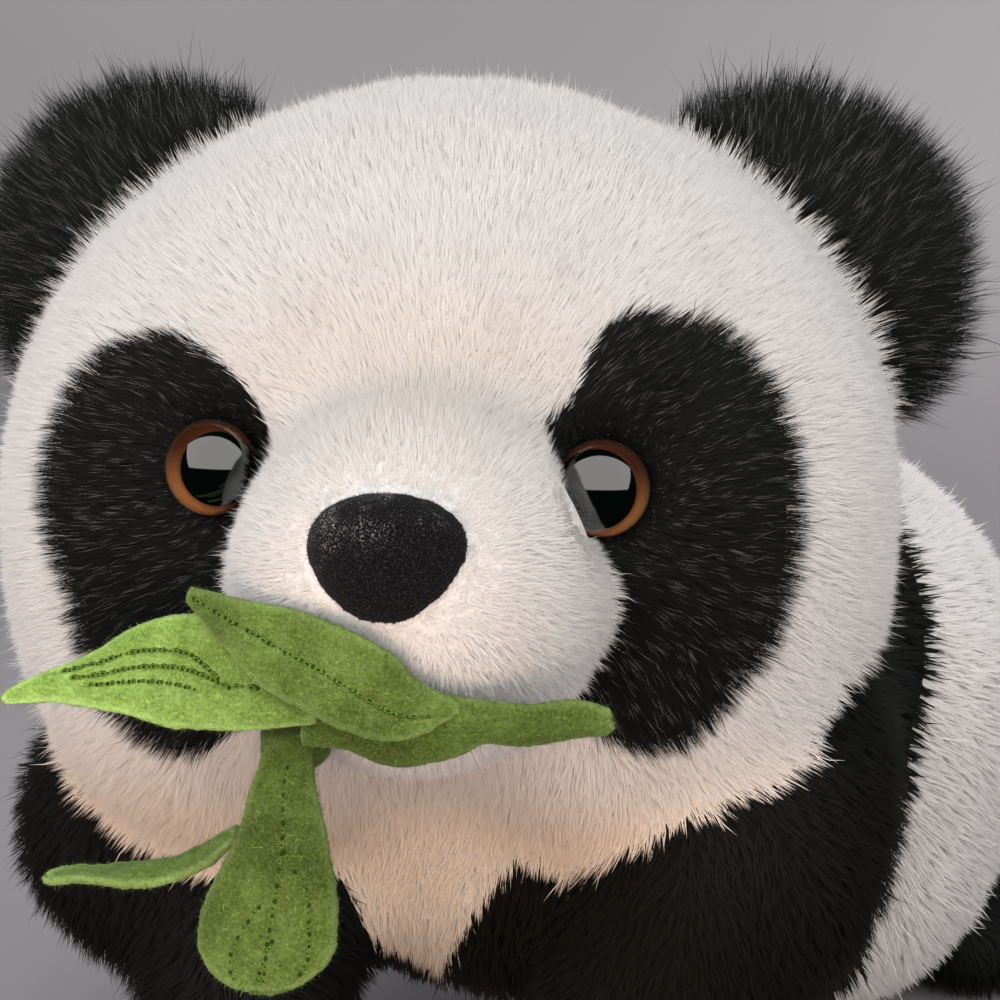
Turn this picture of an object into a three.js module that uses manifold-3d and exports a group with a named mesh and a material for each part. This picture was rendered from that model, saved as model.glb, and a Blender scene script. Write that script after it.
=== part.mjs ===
// A plush panda toy that stands on four short legs, its head turned to its left, with a sprig of sewn felt
// bamboo leaves in its mouth. Millimetres, +Z up, chest toward -Y, the toy's own left toward +X. The origin
// is on the floor, under the middle of the toy. Each stuffed piece reaches out to the tips of its pile.
import * as THREE from "three";
import { mergeVertices } from "three/addons/utils/BufferGeometryUtils.js";
import Module from "manifold-3d";

const wasm = await Module();
wasm.setup();

// Driving dimensions.
const HEAD = { halfWidth: 99, halfDepth: 72, halfHeight: 70, height: 180, forward: 112, turn: 21 };
const CROWN = { halfWidth: 81, halfDepth: 69, halfHeight: 67, rise: 26 };
const CHEEK = { right: -50, left: 45, drop: 20, halfWidth: 59, halfDepth: 62, halfHeight: 82 };
const MUZZLE = { halfWidth: 39, reach: 36, halfHeight: 39, forward: 76, drop: 20 };
const NOSE = { halfWidth: 15, halfHeight: 12, bulge: 9, forward: 106, drop: 12 };
const EYE = { radius: 10, dome: 7, shank: 9, turn: 14 };
const EAR = { radius: 50, halfThickness: 16, spread: 77, rise: 47, back: 14 };
const TRUNK = { shoulders: 99, belly: 117, hips: 108, halfHeight: 90, middle: 113 };
const FLANK = { spread: 46, back: 36, height: 62, halfWidth: 61, halfDepth: 80, halfHeight: 55 };
const FORELEG = { shoulderSpread: 69, pawSpread: 50, forward: 122, pawRadius: 29 };
const STRIDE = { ahead: 24, inward: 15 }; // how far the right forepaw is set in front of the left and inward
const DROOP = { outward: 12, down: 5 }; // how far the right shoulder sags beside the left one
const HINDLEG = { thighSpread: 90, pawSpread: 93, back: 102, pawRadius: 26 };
const TAIL = { radius: 21, back: 158, height: 117 };
const FELT = 2.2; // thickness of a leaf
const GAP = 0.35; // clearance kept between neighbouring pieces
const MIDDLE = { x: 0, y: -26.9 }; // the middle of the toy's length and width, as the shapes are placed
const SIDES = { right: -1, left: 1 }; // the toy's own right and left, as signs of X

const PILE_WHITE = new THREE.MeshStandardMaterial({ color: 0xe8e2db, roughness: 0.95, metalness: 0 });
const PILE_BLACK = new THREE.MeshStandardMaterial({ color: 0x1c1c1e, roughness: 0.9, metalness: 0 });
const FLOCK_BLACK = new THREE.MeshStandardMaterial({ color: 0x201d22, roughness: 0.95, metalness: 0 });
const AMBER_GLOSS = new THREE.MeshStandardMaterial({ color: 0x8c4e22, roughness: 0.08, metalness: 0 });
const FELT_GREEN = new THREE.MeshStandardMaterial({ color: 0x6f9a34, roughness: 0.95, metalness: 0 });

// Shapes ------------------------------------------------------------------------------------------------

// An ellipsoid that takes part in a stuffed shape: its middle and its three radii.
function lobe(middle, radii) {
  return { middle: new THREE.Vector3(...middle), radii: new THREE.Vector3(...radii) };
}

// About how far a point lies outside one lobe, negative inside.
function lobeDistance(point, { middle, radii }) {
  const scaled = point.clone().sub(middle).divide(radii);
  const slope = scaled.clone().divide(radii).length();
  const size = scaled.length();
  return slope > 0 ? (size * (size - 1)) / slope : -Math.min(...radii.toArray());
}

// The distance to all lobes at once, with the creases between them filled over a width of blend.
function stuffedDistance(point, lobes, blend) {
  const total = lobes.reduce((sum, one) => sum + Math.exp(-lobeDistance(point, one) / blend), 0);
  return -blend * Math.log(total);
}

// A sphere whose vertices move along their rays until they lie on the stuffed shape, grown by a margin.
function stuffed({ lobes, blend, detail, centre = lobes[0].middle }, grown = 0) {
  const geometry = new THREE.IcosahedronGeometry(1, detail);
  const positions = geometry.getAttribute("position");
  const ray = new THREE.Vector3();
  const point = new THREE.Vector3();
  const farthest = 400;
  const halvings = 26;
  for (let i = 0; i < positions.count; i++) {
    ray.fromBufferAttribute(positions, i).normalize();
    let [inside, outside] = [0, farthest];
    for (let step = 0; step < halvings; step++) {
      const middle = (inside + outside) / 2;
      point.copy(centre).addScaledVector(ray, middle);
      if (stuffedDistance(point, lobes, blend) < grown) inside = middle;
      else outside = middle;
    }
    point.copy(centre).addScaledVector(ray, inside);
    positions.setXYZ(i, point.x, point.y, point.z);
  }
  return geometry;
}

// A strip of felt along a curve through points, grown by a margin. sides are the directions across it, and
// widths its half widths, both spread evenly from its root to its tip.
function feltLeaf({ points, sides, widths }, grown = 0) {
  const [lengthSteps, widthSteps] = [12, 3];
  const curve = new THREE.CatmullRomCurve3(points.map((p) => new THREE.Vector3(...p)));
  const across = new THREE.CatmullRomCurve3(sides.map((s) => new THREE.Vector3(...s).normalize()));
  const width = new THREE.CatmullRomCurve3(widths.map((w) => new THREE.Vector3(w, 0, 0)));
  const geometry = new THREE.BoxGeometry(1, 2, FELT + 2 * grown, lengthSteps, widthSteps, 1);
  const positions = geometry.getAttribute("position");
  const vertex = new THREE.Vector3();
  for (let i = 0; i < positions.count; i++) {
    vertex.fromBufferAttribute(positions, i);
    const t = vertex.x + 0.5;
    const along = curve.getTangent(t);
    const side = across.getPoint(t);
    side.addScaledVector(along, -side.dot(along)).normalize();
    const face = along.clone().cross(side);
    const place = curve.getPoint(t).addScaledVector(face, vertex.z);
    place.addScaledVector(side, vertex.y * (width.getPoint(t).x + grown));
    place.addScaledVector(along, 2 * vertex.x * grown);
    positions.setXYZ(i, place.x, place.y, place.z);
  }
  return geometry;
}

// Joining and cutting -----------------------------------------------------------------------------------

// A closed geometry as a solid whose shared vertices are merged.
function solid(geometry) {
  const bare = geometry.clone();
  bare.deleteAttribute("normal");
  bare.deleteAttribute("uv");
  const merged = mergeVertices(bare, 1e-3);
  const vertProperties = Float32Array.from(merged.getAttribute("position").array);
  const triVerts = Uint32Array.from(merged.index.array);
  return new wasm.Manifold(new wasm.Mesh({ numProp: 3, vertProperties, triVerts }));
}

// What is left of a geometry once all the others are cut out of it.
function cut(geometry, ...others) {
  return others.reduce((left, other) => left.subtract(solid(other)), solid(geometry));
}

// A solid back as a named mesh.
function piece(name, material, body) {
  const { vertProperties, triVerts } = body.getMesh();
  const geometry = new THREE.BufferGeometry();
  geometry.setAttribute("position", new THREE.BufferAttribute(vertProperties, 3));
  geometry.setIndex(new THREE.BufferAttribute(triVerts, 1));
  geometry.computeVertexNormals();
  const mesh = new THREE.Mesh(geometry, material);
  mesh.name = name;
  return mesh;
}

// The head and what is sewn to it, measured from the middle of the head with the face toward -Y ---------

const headShape = {
  blend: 9,
  detail: 7,
  lobes: [
    lobe([-3, 4, 2], [HEAD.halfWidth, HEAD.halfDepth, HEAD.halfHeight]),
    lobe([-1, 4, CROWN.rise], [CROWN.halfWidth, CROWN.halfDepth, CROWN.halfHeight]),
    lobe([CHEEK.right, -2, -CHEEK.drop], [CHEEK.halfWidth, CHEEK.halfDepth, CHEEK.halfHeight]),
    lobe([CHEEK.left, -2, -CHEEK.drop], [CHEEK.halfWidth, CHEEK.halfDepth, CHEEK.halfHeight]),
  ],
};

const muzzleShape = {
  blend: 5,
  detail: 5,
  lobes: [
    lobe([1, -MUZZLE.forward, -MUZZLE.drop], [MUZZLE.halfWidth, MUZZLE.reach, MUZZLE.halfHeight]),
  ],
};

const noseShape = {
  blend: 4,
  detail: 3,
  lobes: [
    lobe([0, -NOSE.forward, 3 - NOSE.drop], [NOSE.halfWidth, NOSE.bulge, NOSE.halfHeight - 3]),
    lobe([0, -NOSE.forward, -4 - NOSE.drop], [NOSE.halfWidth * 0.7, NOSE.bulge, NOSE.halfHeight - 3]),
  ],
};

// The left eye is sewn a little lower and closer to the muzzle than the right one.
const EYE_PLACES = { right: [-43.7, -66.5, 1.3], left: [36.5, -66.5, -0.5] };

// A glossy dome on a shank that goes into the head.
function eyeGeometry(side, grown = 0) {
  const radius = EYE.radius + grown;
  const brim = -2 - grown;
  const profile = [
    new THREE.Vector2(0, brim - EYE.shank),
    new THREE.Vector2(radius / 2, brim - EYE.shank),
    new THREE.Vector2(radius / 2, brim),
    new THREE.Vector2(radius, brim),
  ];
  const domeSteps = 5;
  for (let i = 0; i < domeSteps; i++) {
    const angle = (i / domeSteps) * (Math.PI / 2);
    profile.push(new THREE.Vector2(radius * Math.cos(angle), (EYE.dome + grown) * Math.sin(angle)));
  }
  profile.push(new THREE.Vector2(0, EYE.dome + grown));
  return new THREE.LatheGeometry(profile, 16)
    .rotateX(Math.PI)
    .rotateZ(SIDES[side] * THREE.MathUtils.degToRad(EYE.turn))
    .translate(...EYE_PLACES[side]);
}

function earShape(sign) {
  const middle = [sign * EAR.spread - 1, EAR.back, EAR.rise];
  return { blend: 4, detail: 4, lobes: [lobe(middle, [EAR.radius, EAR.halfThickness, EAR.radius])] };
}

// The felt sprig, measured from the middle of the head too ------------------------------------------------

const knotShape = { blend: 2, detail: 2, lobes: [lobe([-18, -99, -48], [7, 7, 5])] };

const LEAVES = {
  leaf_upper: {
    points: [
      [-38.5, -100, -20.5],
      [-29, -105.5, -24.5],
      [-20, -109.5, -28],
      [-11, -112.5, -31],
      [-3, -113.5, -34.5],
      [4, -113, -37.5],
      [14, -111, -37.5],
    ],
    sides: [[0, 0, 1], [0.16, 0.1, 1], [0.35, 0.07, 0.93], [0.4, 0.06, 0.91], [0.35, 0.07, 0.93], [0, 0, 1]],
    widths: [1.3, 4.5, 7.3, 8, 8, 6, 1],
  },
  leaf_long: {
    points: [
      [-19.5, -105.5, -42.5],
      [-29, -102.5, -38],
      [-38, -100, -35],
      [-47.5, -97.5, -35.5],
      [-57.5, -95.5, -38],
      [-67, -93.5, -40],
      [-77.5, -91.5, -43.5],
    ],
    sides: [[0.2, 0.15, 1], [0, 0.2, 1], [0, 0.35, 0.94], [-0.1, 0.38, 0.92], [-0.2, 0.5, 0.86], [-0.3, 0.5, 0.8]],
    widths: [3, 8, 10.8, 9.4, 5.8, 3.4, 1.4],
  },
  leaf_curled: {
    points: [
      [-15.5, -106, -44],
      [-7, -107.5, -43.5],
      [1.5, -108.5, -45],
      [10, -109.5, -42],
      [17.5, -110.5, -40.5],
      [26, -109, -41],
      [34, -107, -40],
      [41, -104.5, -40.5],
    ],
    sides: [[0, 0, 1], [0, 0, 1], [0, -0.13, 1], [0, -0.3, 0.95], [0, -0.45, 0.9], [0, -0.55, 0.83]],
    widths: [2, 2.8, 4, 5.6, 4.1, 3.9, 3.9, 2.5],
  },
  leaf_hanging: {
    points: [
      [-18, -103.5, -47],
      [-18.5, -107, -55],
      [-18, -110.5, -63],
      [-18.5, -113.5, -72],
      [-19.5, -115.5, -80.5],
      [-19.5, -117.5, -89],
    ],
    sides: [[1, 0, 0.05], [1, 0, 0.05], [1, 0, 0.06], [1, -0.05, 0.08]],
    widths: [4.1, 6.2, 8.4, 11.5, 12.3, 8.8],
  },
  leaf_side: {
    points: [
      [-28, -102.5, -64.5],
      [-34.5, -101.5, -69],
      [-42, -101.5, -72],
      [-50, -100.5, -73.5],
      [-58, -99.5, -74.5],
      [-66, -98, -76],
    ],
    sides: [[0, 0.75, 0.65], [-0.2, 0.95, 0.27], [-0.25, 0.95, 0.2], [-0.25, 0.95, 0.24]],
    widths: [2.6, 4, 5.4, 5, 3.4, 1.6],
  },
};

// The body ------------------------------------------------------------------------------------------------

const trunkShape = {
  centre: new THREE.Vector3(0, 5, TRUNK.middle),
  blend: 13,
  detail: 6,
  lobes: [
    lobe([0, -78, TRUNK.middle + 8], [TRUNK.shoulders, 64, TRUNK.halfHeight - 6]),
    lobe([0, 15, TRUNK.middle], [TRUNK.belly, 92, TRUNK.halfHeight]),
    lobe([0, 90, TRUNK.middle - 2], [TRUNK.hips, 66, TRUNK.halfHeight - 8]),
    lobe([-FLANK.spread, FLANK.back, FLANK.height], [FLANK.halfWidth, FLANK.halfDepth, FLANK.halfHeight]),
    lobe([FLANK.spread, FLANK.back, FLANK.height], [FLANK.halfWidth, FLANK.halfDepth, FLANK.halfHeight]),
  ],
};

function forelegShape(sign) {
  const { shoulderSpread, forward, pawRadius } = FORELEG;
  const steps = sign === SIDES.right;
  const x = sign * (FORELEG.pawSpread - (steps ? STRIDE.inward : 0));
  const y = -forward - (steps ? STRIDE.ahead : 0);
  const shoulder = sign * (shoulderSpread + (steps ? DROOP.outward : 0));
  const shoulderHeight = 91 - (steps ? DROOP.down : 0);
  return {
    centre: new THREE.Vector3(x + sign * 6, y + 14, 60),
    blend: 8,
    detail: 4,
    lobes: [
      lobe([x, y - 3, pawRadius - 4], [pawRadius, pawRadius + 6, pawRadius - 2]),
      lobe([x + sign * 4, y + 10, 58], [pawRadius - 5, pawRadius, 36]),
      lobe([shoulder, y + 22, shoulderHeight], [36, 43, 41]),
      lobe([sign * (shoulderSpread + 3), -forward + 36, 112], [32, 40, 42]),
    ],
  };
}

function hindlegShape(sign) {
  const { thighSpread, pawSpread, back, pawRadius } = HINDLEG;
  return {
    centre: new THREE.Vector3(sign * pawSpread, back + 6, 24),
    blend: 8,
    detail: 4,
    lobes: [
      lobe([sign * pawSpread, back - 2, pawRadius - 9], [pawRadius, pawRadius + 12, pawRadius - 6]),
      lobe([sign * thighSpread, back + 18, 20], [31, 40, 23]),
    ],
  };
}

const tailShape = {
  blend: 4,
  detail: 2,
  lobes: [lobe([0, TAIL.back, TAIL.height], [TAIL.radius, TAIL.radius, TAIL.radius + 4])],
};

// Assembly ------------------------------------------------------------------------------------------------

// Where the head sits on the trunk, and the pieces that are measured from it brought to their real place.
const headPlace = new THREE.Matrix4()
  .makeRotationZ(THREE.MathUtils.degToRad(HEAD.turn))
  .setPosition(0, -HEAD.forward, HEAD.height);
const onHead = (geometry) => geometry.applyMatrix4(headPlace);

// All that lies under the level on which the toy stands.
const worldSize = 1000;
const underFloor = new THREE.BoxGeometry(worldSize, worldSize, worldSize).translate(0, 0, -worldSize / 2);

const clearHead = onHead(stuffed(headShape, GAP));
const clearMuzzle = onHead(stuffed(muzzleShape, GAP));
const clearTrunk = stuffed(trunkShape, GAP);
const clearKnot = onHead(stuffed(knotShape, GAP));
const clearEyes = Object.keys(SIDES).map((side) => onHead(eyeGeometry(side, GAP)));

const head = new THREE.Group();
head.add(piece("head", PILE_WHITE, cut(onHead(stuffed(headShape)), ...clearEyes)));
const muzzle = cut(onHead(stuffed(muzzleShape)), clearHead, ...clearEyes, clearKnot);
head.add(piece("muzzle", PILE_WHITE, muzzle));
head.add(piece("nose", FLOCK_BLACK, cut(onHead(stuffed(noseShape)), clearMuzzle)));
for (const [side, sign] of Object.entries(SIDES)) {
  head.add(piece(`eye_${side}`, AMBER_GLOSS, solid(onHead(eyeGeometry(side)))));
  head.add(piece(`ear_${side}`, PILE_BLACK, cut(onHead(stuffed(earShape(sign))), clearHead)));
}

const body = new THREE.Group();
body.add(piece("trunk", PILE_WHITE, cut(stuffed(trunkShape), clearHead)));
body.add(piece("tail", PILE_WHITE, cut(stuffed(tailShape), clearTrunk)));
for (const [side, sign] of Object.entries(SIDES)) {
  const foreleg = cut(stuffed(forelegShape(sign)), clearTrunk, clearHead, underFloor);
  const hindleg = cut(stuffed(hindlegShape(sign)), clearTrunk, underFloor);
  body.add(piece(`foreleg_${side}`, PILE_BLACK, foreleg));
  body.add(piece(`hindleg_${side}`, PILE_BLACK, hindleg));
}

const sprig = new THREE.Group();
sprig.add(piece("sprig_knot", FELT_GREEN, solid(onHead(stuffed(knotShape)))));
const clearOfLeaf = [clearKnot, clearHead, clearMuzzle];
for (const [name, leaf] of Object.entries(LEAVES)) {
  sprig.add(piece(name, FELT_GREEN, cut(onHead(feltLeaf(leaf)), ...clearOfLeaf)));
  clearOfLeaf.push(onHead(feltLeaf(leaf, GAP)));
}

const group = new THREE.Group();
group.name = "plush_panda";
group.add(head, body, sprig);
group.position.set(-MIDDLE.x, -MIDDLE.y, 0);

export default group;
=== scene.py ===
"""The looks of a plush panda toy with a sprig of felt bamboo leaves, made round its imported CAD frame.

Everything is in metres and in the frame's own axes: +Z up, the chest toward -Y and the toy's own left
toward +X. What belongs to the head is measured from the middle of the head, with the face toward -Y,
and is then turned and moved to its place by HeadPlace.
"""

import logging
import math
from collections.abc import Callable
from dataclasses import dataclass, field
from enum import Enum

import bmesh
import bpy
import numpy as np
from mathutils import Matrix, Vector
from mathutils.bvhtree import BVHTree
from mathutils.kdtree import KDTree


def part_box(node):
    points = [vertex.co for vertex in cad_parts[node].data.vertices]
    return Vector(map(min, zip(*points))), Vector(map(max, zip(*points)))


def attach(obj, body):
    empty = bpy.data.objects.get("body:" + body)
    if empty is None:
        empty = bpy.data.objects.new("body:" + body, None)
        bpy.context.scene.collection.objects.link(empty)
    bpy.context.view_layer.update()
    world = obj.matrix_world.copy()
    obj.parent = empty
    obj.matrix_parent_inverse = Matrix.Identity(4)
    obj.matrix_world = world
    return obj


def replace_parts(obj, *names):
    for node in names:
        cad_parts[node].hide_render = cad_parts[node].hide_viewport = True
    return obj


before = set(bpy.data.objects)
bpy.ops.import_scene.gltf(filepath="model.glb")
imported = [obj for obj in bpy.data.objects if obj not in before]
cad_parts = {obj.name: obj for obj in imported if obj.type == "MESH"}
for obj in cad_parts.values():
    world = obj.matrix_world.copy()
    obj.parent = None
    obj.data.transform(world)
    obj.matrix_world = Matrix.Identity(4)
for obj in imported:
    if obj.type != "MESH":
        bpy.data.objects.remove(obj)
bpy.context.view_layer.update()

LOG = logging.getLogger("plush_panda")
MM = 0.001
MM2 = MM * MM
UNWRAP = "OFBake"
PILE = "pile"  # the attribute that tells the finishes how far along its strand a point lies, and its tone
Colour = tuple[float, float, float]
Spot = tuple[float, float, float]
Span = tuple[float, float]
WHITE: Colour = (1.0, 1.0, 1.0)


# Numbers and directions ------------------------------------------------------------------------------


def unit(vectors: np.ndarray) -> np.ndarray:
    """The vectors at length one; a vector of no length stays as it is."""
    return vectors / np.maximum(np.linalg.norm(vectors, axis=-1, keepdims=True), 1e-12)


def ramp(low: float, high: float, values: np.ndarray) -> np.ndarray:
    """A smooth step from 0 at low to 1 at high."""
    share = np.clip((values - low) / (high - low), 0.0, 1.0)
    return share * share * (3.0 - 2.0 * share)


def column(values: np.ndarray) -> np.ndarray:
    """Values as a column, to multiply rows of vectors."""
    return values[..., None]


def flattened(vectors: np.ndarray, normals: np.ndarray) -> np.ndarray:
    """What is left of the vectors once their share along the normals is taken out."""
    return vectors - normals * column((vectors * normals).sum(-1))


def ripple(points: np.ndarray, wavelength: float, seed: int) -> np.ndarray:
    """A gentle uneven field through space, about -1 to 1.

    Args:
        points: Where it is wanted, one row each.
        wavelength: About how far apart its crests lie.
        seed: Which field it is.

    Returns:
        One value for each point.
    """
    waves = 7
    rng = np.random.default_rng(seed)
    directions = unit(rng.normal(size=(waves, 3))) * rng.uniform(0.6, 1.5, (waves, 1))
    phases = rng.uniform(0.0, 2.0 * math.pi, waves)
    return np.sin(points @ directions.T * (2.0 * math.pi / wavelength) + phases).sum(1) / math.sqrt(waves)


@dataclass(frozen=True)
class HeadPlace:
    """Where the head's own axes lie in the frame: turned about Z by turn, round origin."""

    turn: float
    origin: Spot

    @classmethod
    def from_frame(cls) -> "HeadPlace":
        """The place found from the two eyes, whose middle is known in the head's own axes."""
        right, left = (np.mean(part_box(f"eye_{side}"), axis=0) for side in ("right", "left"))
        sewn_tilt = math.radians(0.08)  # the eyes' line is this far off the head's own X axis
        turn = math.atan2(left[1] - right[1], left[0] - right[0]) + sewn_tilt
        between_eyes = np.array([-3.22, -64.39, 0.40]) * MM
        still = cls(turn, (0.0, 0.0, 0.0))
        return cls(turn, tuple((right + left) / 2 - still.out(between_eyes)))

    @property
    def matrix(self) -> Matrix:
        """The head's axes as a matrix, for meshes."""
        return Matrix.Translation(self.origin) @ Matrix.Rotation(self.turn, 4, "Z")

    def spin(self, vectors: np.ndarray, angle: float) -> np.ndarray:
        """The vectors turned about Z by an angle."""
        c, s = math.cos(angle), math.sin(angle)
        return np.asarray(vectors) @ np.array([[c, s, 0.0], [-s, c, 0.0], [0.0, 0.0, 1.0]])

    def out(self, points: np.ndarray) -> np.ndarray:
        """Points from the head's axes to the frame's."""
        return self.spin(points, self.turn) + np.array(self.origin)

    def inward(self, points: np.ndarray) -> np.ndarray:
        """Points from the frame's axes to the head's."""
        return self.spin(np.asarray(points) - np.array(self.origin), -self.turn)


# Shader trees ----------------------------------------------------------------------------------------


class Wire:
    """One output of a node, with the arithmetic of values."""

    def __init__(self, graph: "Graph", socket: bpy.types.NodeSocket) -> None:
        """Keeps the socket and the tree that it is in."""
        self.graph, self.socket = graph, socket

    def _with(self, operation: str, *values: "Value") -> "Wire":
        """A Math node on the given values."""
        inputs = dict(enumerate(values))
        return self.graph.add("ShaderNodeMath", {"operation": operation}, inputs).wire()

    def __add__(self, other: "Value") -> "Wire":
        """self + other."""
        return self._with("ADD", self, other)

    __radd__ = __add__

    def __mul__(self, other: "Value") -> "Wire":
        """self * other."""
        return self._with("MULTIPLY", self, other)

    __rmul__ = __mul__

    def __sub__(self, other: "Value") -> "Wire":
        """self - other."""
        return self._with("SUBTRACT", self, other)

    def __rsub__(self, other: "Value") -> "Wire":
        """other - self."""
        return self._with("SUBTRACT", other, self)

    def __truediv__(self, other: "Value") -> "Wire":
        """self / other."""
        return self._with("DIVIDE", self, other)

    def __rtruediv__(self, other: "Value") -> "Wire":
        """other / self."""
        return self._with("DIVIDE", other, self)

    def __pow__(self, other: "Value") -> "Wire":
        """self to the power of other."""
        return self._with("POWER", self, other)

    def step(self, low: float, high: float) -> "Wire":
        """A smooth step from 0 at low to 1 at high."""
        inputs = {"Value": self, "From Min": low, "From Max": high}
        return self.graph.add("ShaderNodeMapRange", {"interpolation_type": "SMOOTHSTEP"}, inputs).wire()


Value = Wire | float | Colour | tuple[float, float, float, float]


class Made:
    """A node that has been added, from which wires are taken."""

    def __init__(self, graph: "Graph", node: bpy.types.Node) -> None:
        """Keeps the node and its tree."""
        self.graph, self.node = graph, node

    def wire(self, output: str | int = 0) -> Wire:
        """The output of that name or number."""
        return Wire(self.graph, self.node.outputs[output])


class Graph:
    """The shader tree of one material, built from an empty tree."""

    def __init__(self, name: str) -> None:
        """Starts a material of that name."""
        self.material = bpy.data.materials.new(name)
        self.material.use_nodes = True
        self.tree = self.material.node_tree
        self.tree.nodes.clear()

    def add(self, kind: str, settings: dict | None = None, inputs: dict | None = None) -> Made:
        """Adds one node.

        Args:
            kind: The node's type.
            settings: Its own settings, set first.
            inputs: Values or wires by the name or number of their socket.

        Returns:
            The node, ready to take wires from.
        """
        node = self.tree.nodes.new(kind)
        for name, value in (settings or {}).items():
            setattr(node, name, value)
        for name, value in (inputs or {}).items():
            if isinstance(value, Wire):
                self.tree.links.new(value.socket, node.inputs[name])
            else:
                node.inputs[name].default_value = self._fit(node.inputs[name], value)
        return Made(self, node)

    @staticmethod
    def _fit(socket: bpy.types.NodeSocket, value: Value) -> Value:
        """A colour of three numbers gets the fourth that a colour socket wants."""
        return (*value, 1.0) if socket.type == "RGBA" and len(value) == 3 else value

    def blend(self, share: Value, first: Value, second: Value, kind: str = "MIX") -> Wire:
        """Two colours mixed.

        Args:
            share: 0 for the first colour, 1 for the second.
            first: The first colour.
            second: The second colour.
            kind: How they mix.

        Returns:
            The mixed colour.
        """
        settings = {"data_type": "RGBA", "blend_type": kind}
        return self.add("ShaderNodeMix", settings, {0: share, 6: first, 7: second}).wire(2)

    def place(self) -> Wire:
        """The point's place in the frame."""
        return self.add("ShaderNodeTexCoord").wire("Object")

    def noise(self, scale: float, detail: float = 3.0, at: Wire | None = None) -> Wire:
        """A cloudy pattern from 0 to 1.

        Args:
            scale: How many of its features there are to a metre.
            detail: How many finer layers it has.
            at: The place, where it isn't the point's own.

        Returns:
            The pattern.
        """
        inputs = {"Vector": at or self.place(), "Scale": scale, "Detail": detail, "Roughness": 0.6}
        return self.add("ShaderNodeTexNoise", None, inputs).wire(0)

    def pile(self) -> tuple[Wire, Wire, Wire]:
        """How far along its strand a point lies, its strand's own tone, and painted warm shade (on felt,
        paleness).
        """
        colour = self.add("ShaderNodeAttribute", {"attribute_name": PILE}).wire("Color")
        parts = self.add("ShaderNodeSeparateColor", None, {0: colour})
        return parts.wire(0), parts.wire(1), parts.wire(2)

    def bump(self, height: Wire, distance: float) -> Wire:
        """A normal that stands up with the height, by the distance for a height of one."""
        return self.add("ShaderNodeBump", None, {"Height": height, "Distance": distance}).wire()

    def times(self, colour: Value, other: Value) -> Wire:
        """Two colours multiplied."""
        return self.blend(1.0, colour, other, "MULTIPLY")

    def own_axes(self, inputs: dict) -> tuple[Wire, tuple[Wire, Wire, Wire]]:
        """A piece's own axes, from the frame's.

        Args:
            inputs: The Location, Rotation and Scale of its axes.

        Returns:
            The place in those axes, and its three values.
        """
        inputs = {"Vector": self.place(), **inputs}
        own = self.add("ShaderNodeMapping", {"vector_type": "TEXTURE"}, inputs).wire()
        axes = self.add("ShaderNodeSeparateXYZ", None, {0: own})
        return own, (axes.wire(0), axes.wire(1), axes.wire(2))

    def finish(self, inputs: dict) -> bpy.types.Material:
        """Ends the tree in a Principled surface with the given inputs.

        Args:
            inputs: Values or wires by the name of their socket.

        Returns:
            The material.
        """
        surface = self.add("ShaderNodeBsdfPrincipled", None, inputs).wire()
        self.add("ShaderNodeOutputMaterial", None, {"Surface": surface})
        return self.material


# Finishes --------------------------------------------------------------------------------------------


@dataclass(frozen=True)
class PileFinish:
    """Cut plush pile: root and tip colours, how much strands differ, its soft gloss, painted glints and
    painted warm shade.
    """

    name: str
    # the root is painted a little darker than the tip: painted shade deep in the pile
    root: Colour
    tip: Colour
    # the tint of the painted warm shade and bounce light
    warm: Colour
    # painted glint: the light colour that stands in for highlights on some strands
    glint: Colour
    roughness: float
    sheen: float
    specular: float
    tip_from: float = 0.55  # how far along a strand its tip's colour is reached
    glint_tone: float = 0.9  # the tone over which a strand gets a painted glint, a painted highlight
    glint_reach: Span = (0.35, 0.8)  # where along it the painted glint begins and where it is full
    dullest: Colour = (0.97, 0.97, 0.97)

    def colour(self, graph: Graph) -> Wire:
        """The pile's colour in a shader tree, from its strands' attribute."""
        along, tone, warmth = graph.pile()
        body = graph.blend(along.step(0.0, self.tip_from), self.root, self.tip)
        # Painted glints: the strands of highest tone are painted light toward their tips, in place of
        # highlights.
        painted_glint_mask = tone.step(self.glint_tone, 1.0) * along.step(*self.glint_reach)
        body = graph.blend(painted_glint_mask, body, self.glint)
        body = graph.times(body, graph.blend(tone, self.dullest, WHITE))
        # painted warm shade and bounce light, by the strands' third value
        return graph.blend(warmth, body, graph.times(body, self.warm))

    def build(self) -> bpy.types.Material:
        """The material of the strands."""
        graph = Graph(self.name)
        inputs = {
            "Base Color": self.colour(graph),
            "Roughness": self.roughness,
            "Specular IOR Level": self.specular,
            "Sheen Weight": self.sheen,
            "Sheen Roughness": 0.45,
            "Sheen Tint": WHITE,
        }
        return graph.finish(inputs)


WHITE_PILE = PileFinish(
    name="white_pile",
    root=(0.92, 0.885, 0.86),
    tip=(0.93, 0.905, 0.885),
    warm=(1.0, 0.75, 0.50),
    glint=(0.95, 0.935, 0.925),
    roughness=0.85,
    sheen=0.12,
    specular=0.2,
)
BLACK_PILE = PileFinish(
    name="black_pile",
    root=(0.0066, 0.0070, 0.0066),
    tip=(0.0088, 0.0094, 0.0086),
    warm=(1.2, 1.0, 0.9),
    glint=(0.19, 0.19, 0.195),
    roughness=0.6,
    sheen=0.02,
    specular=0.18,
)


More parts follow.
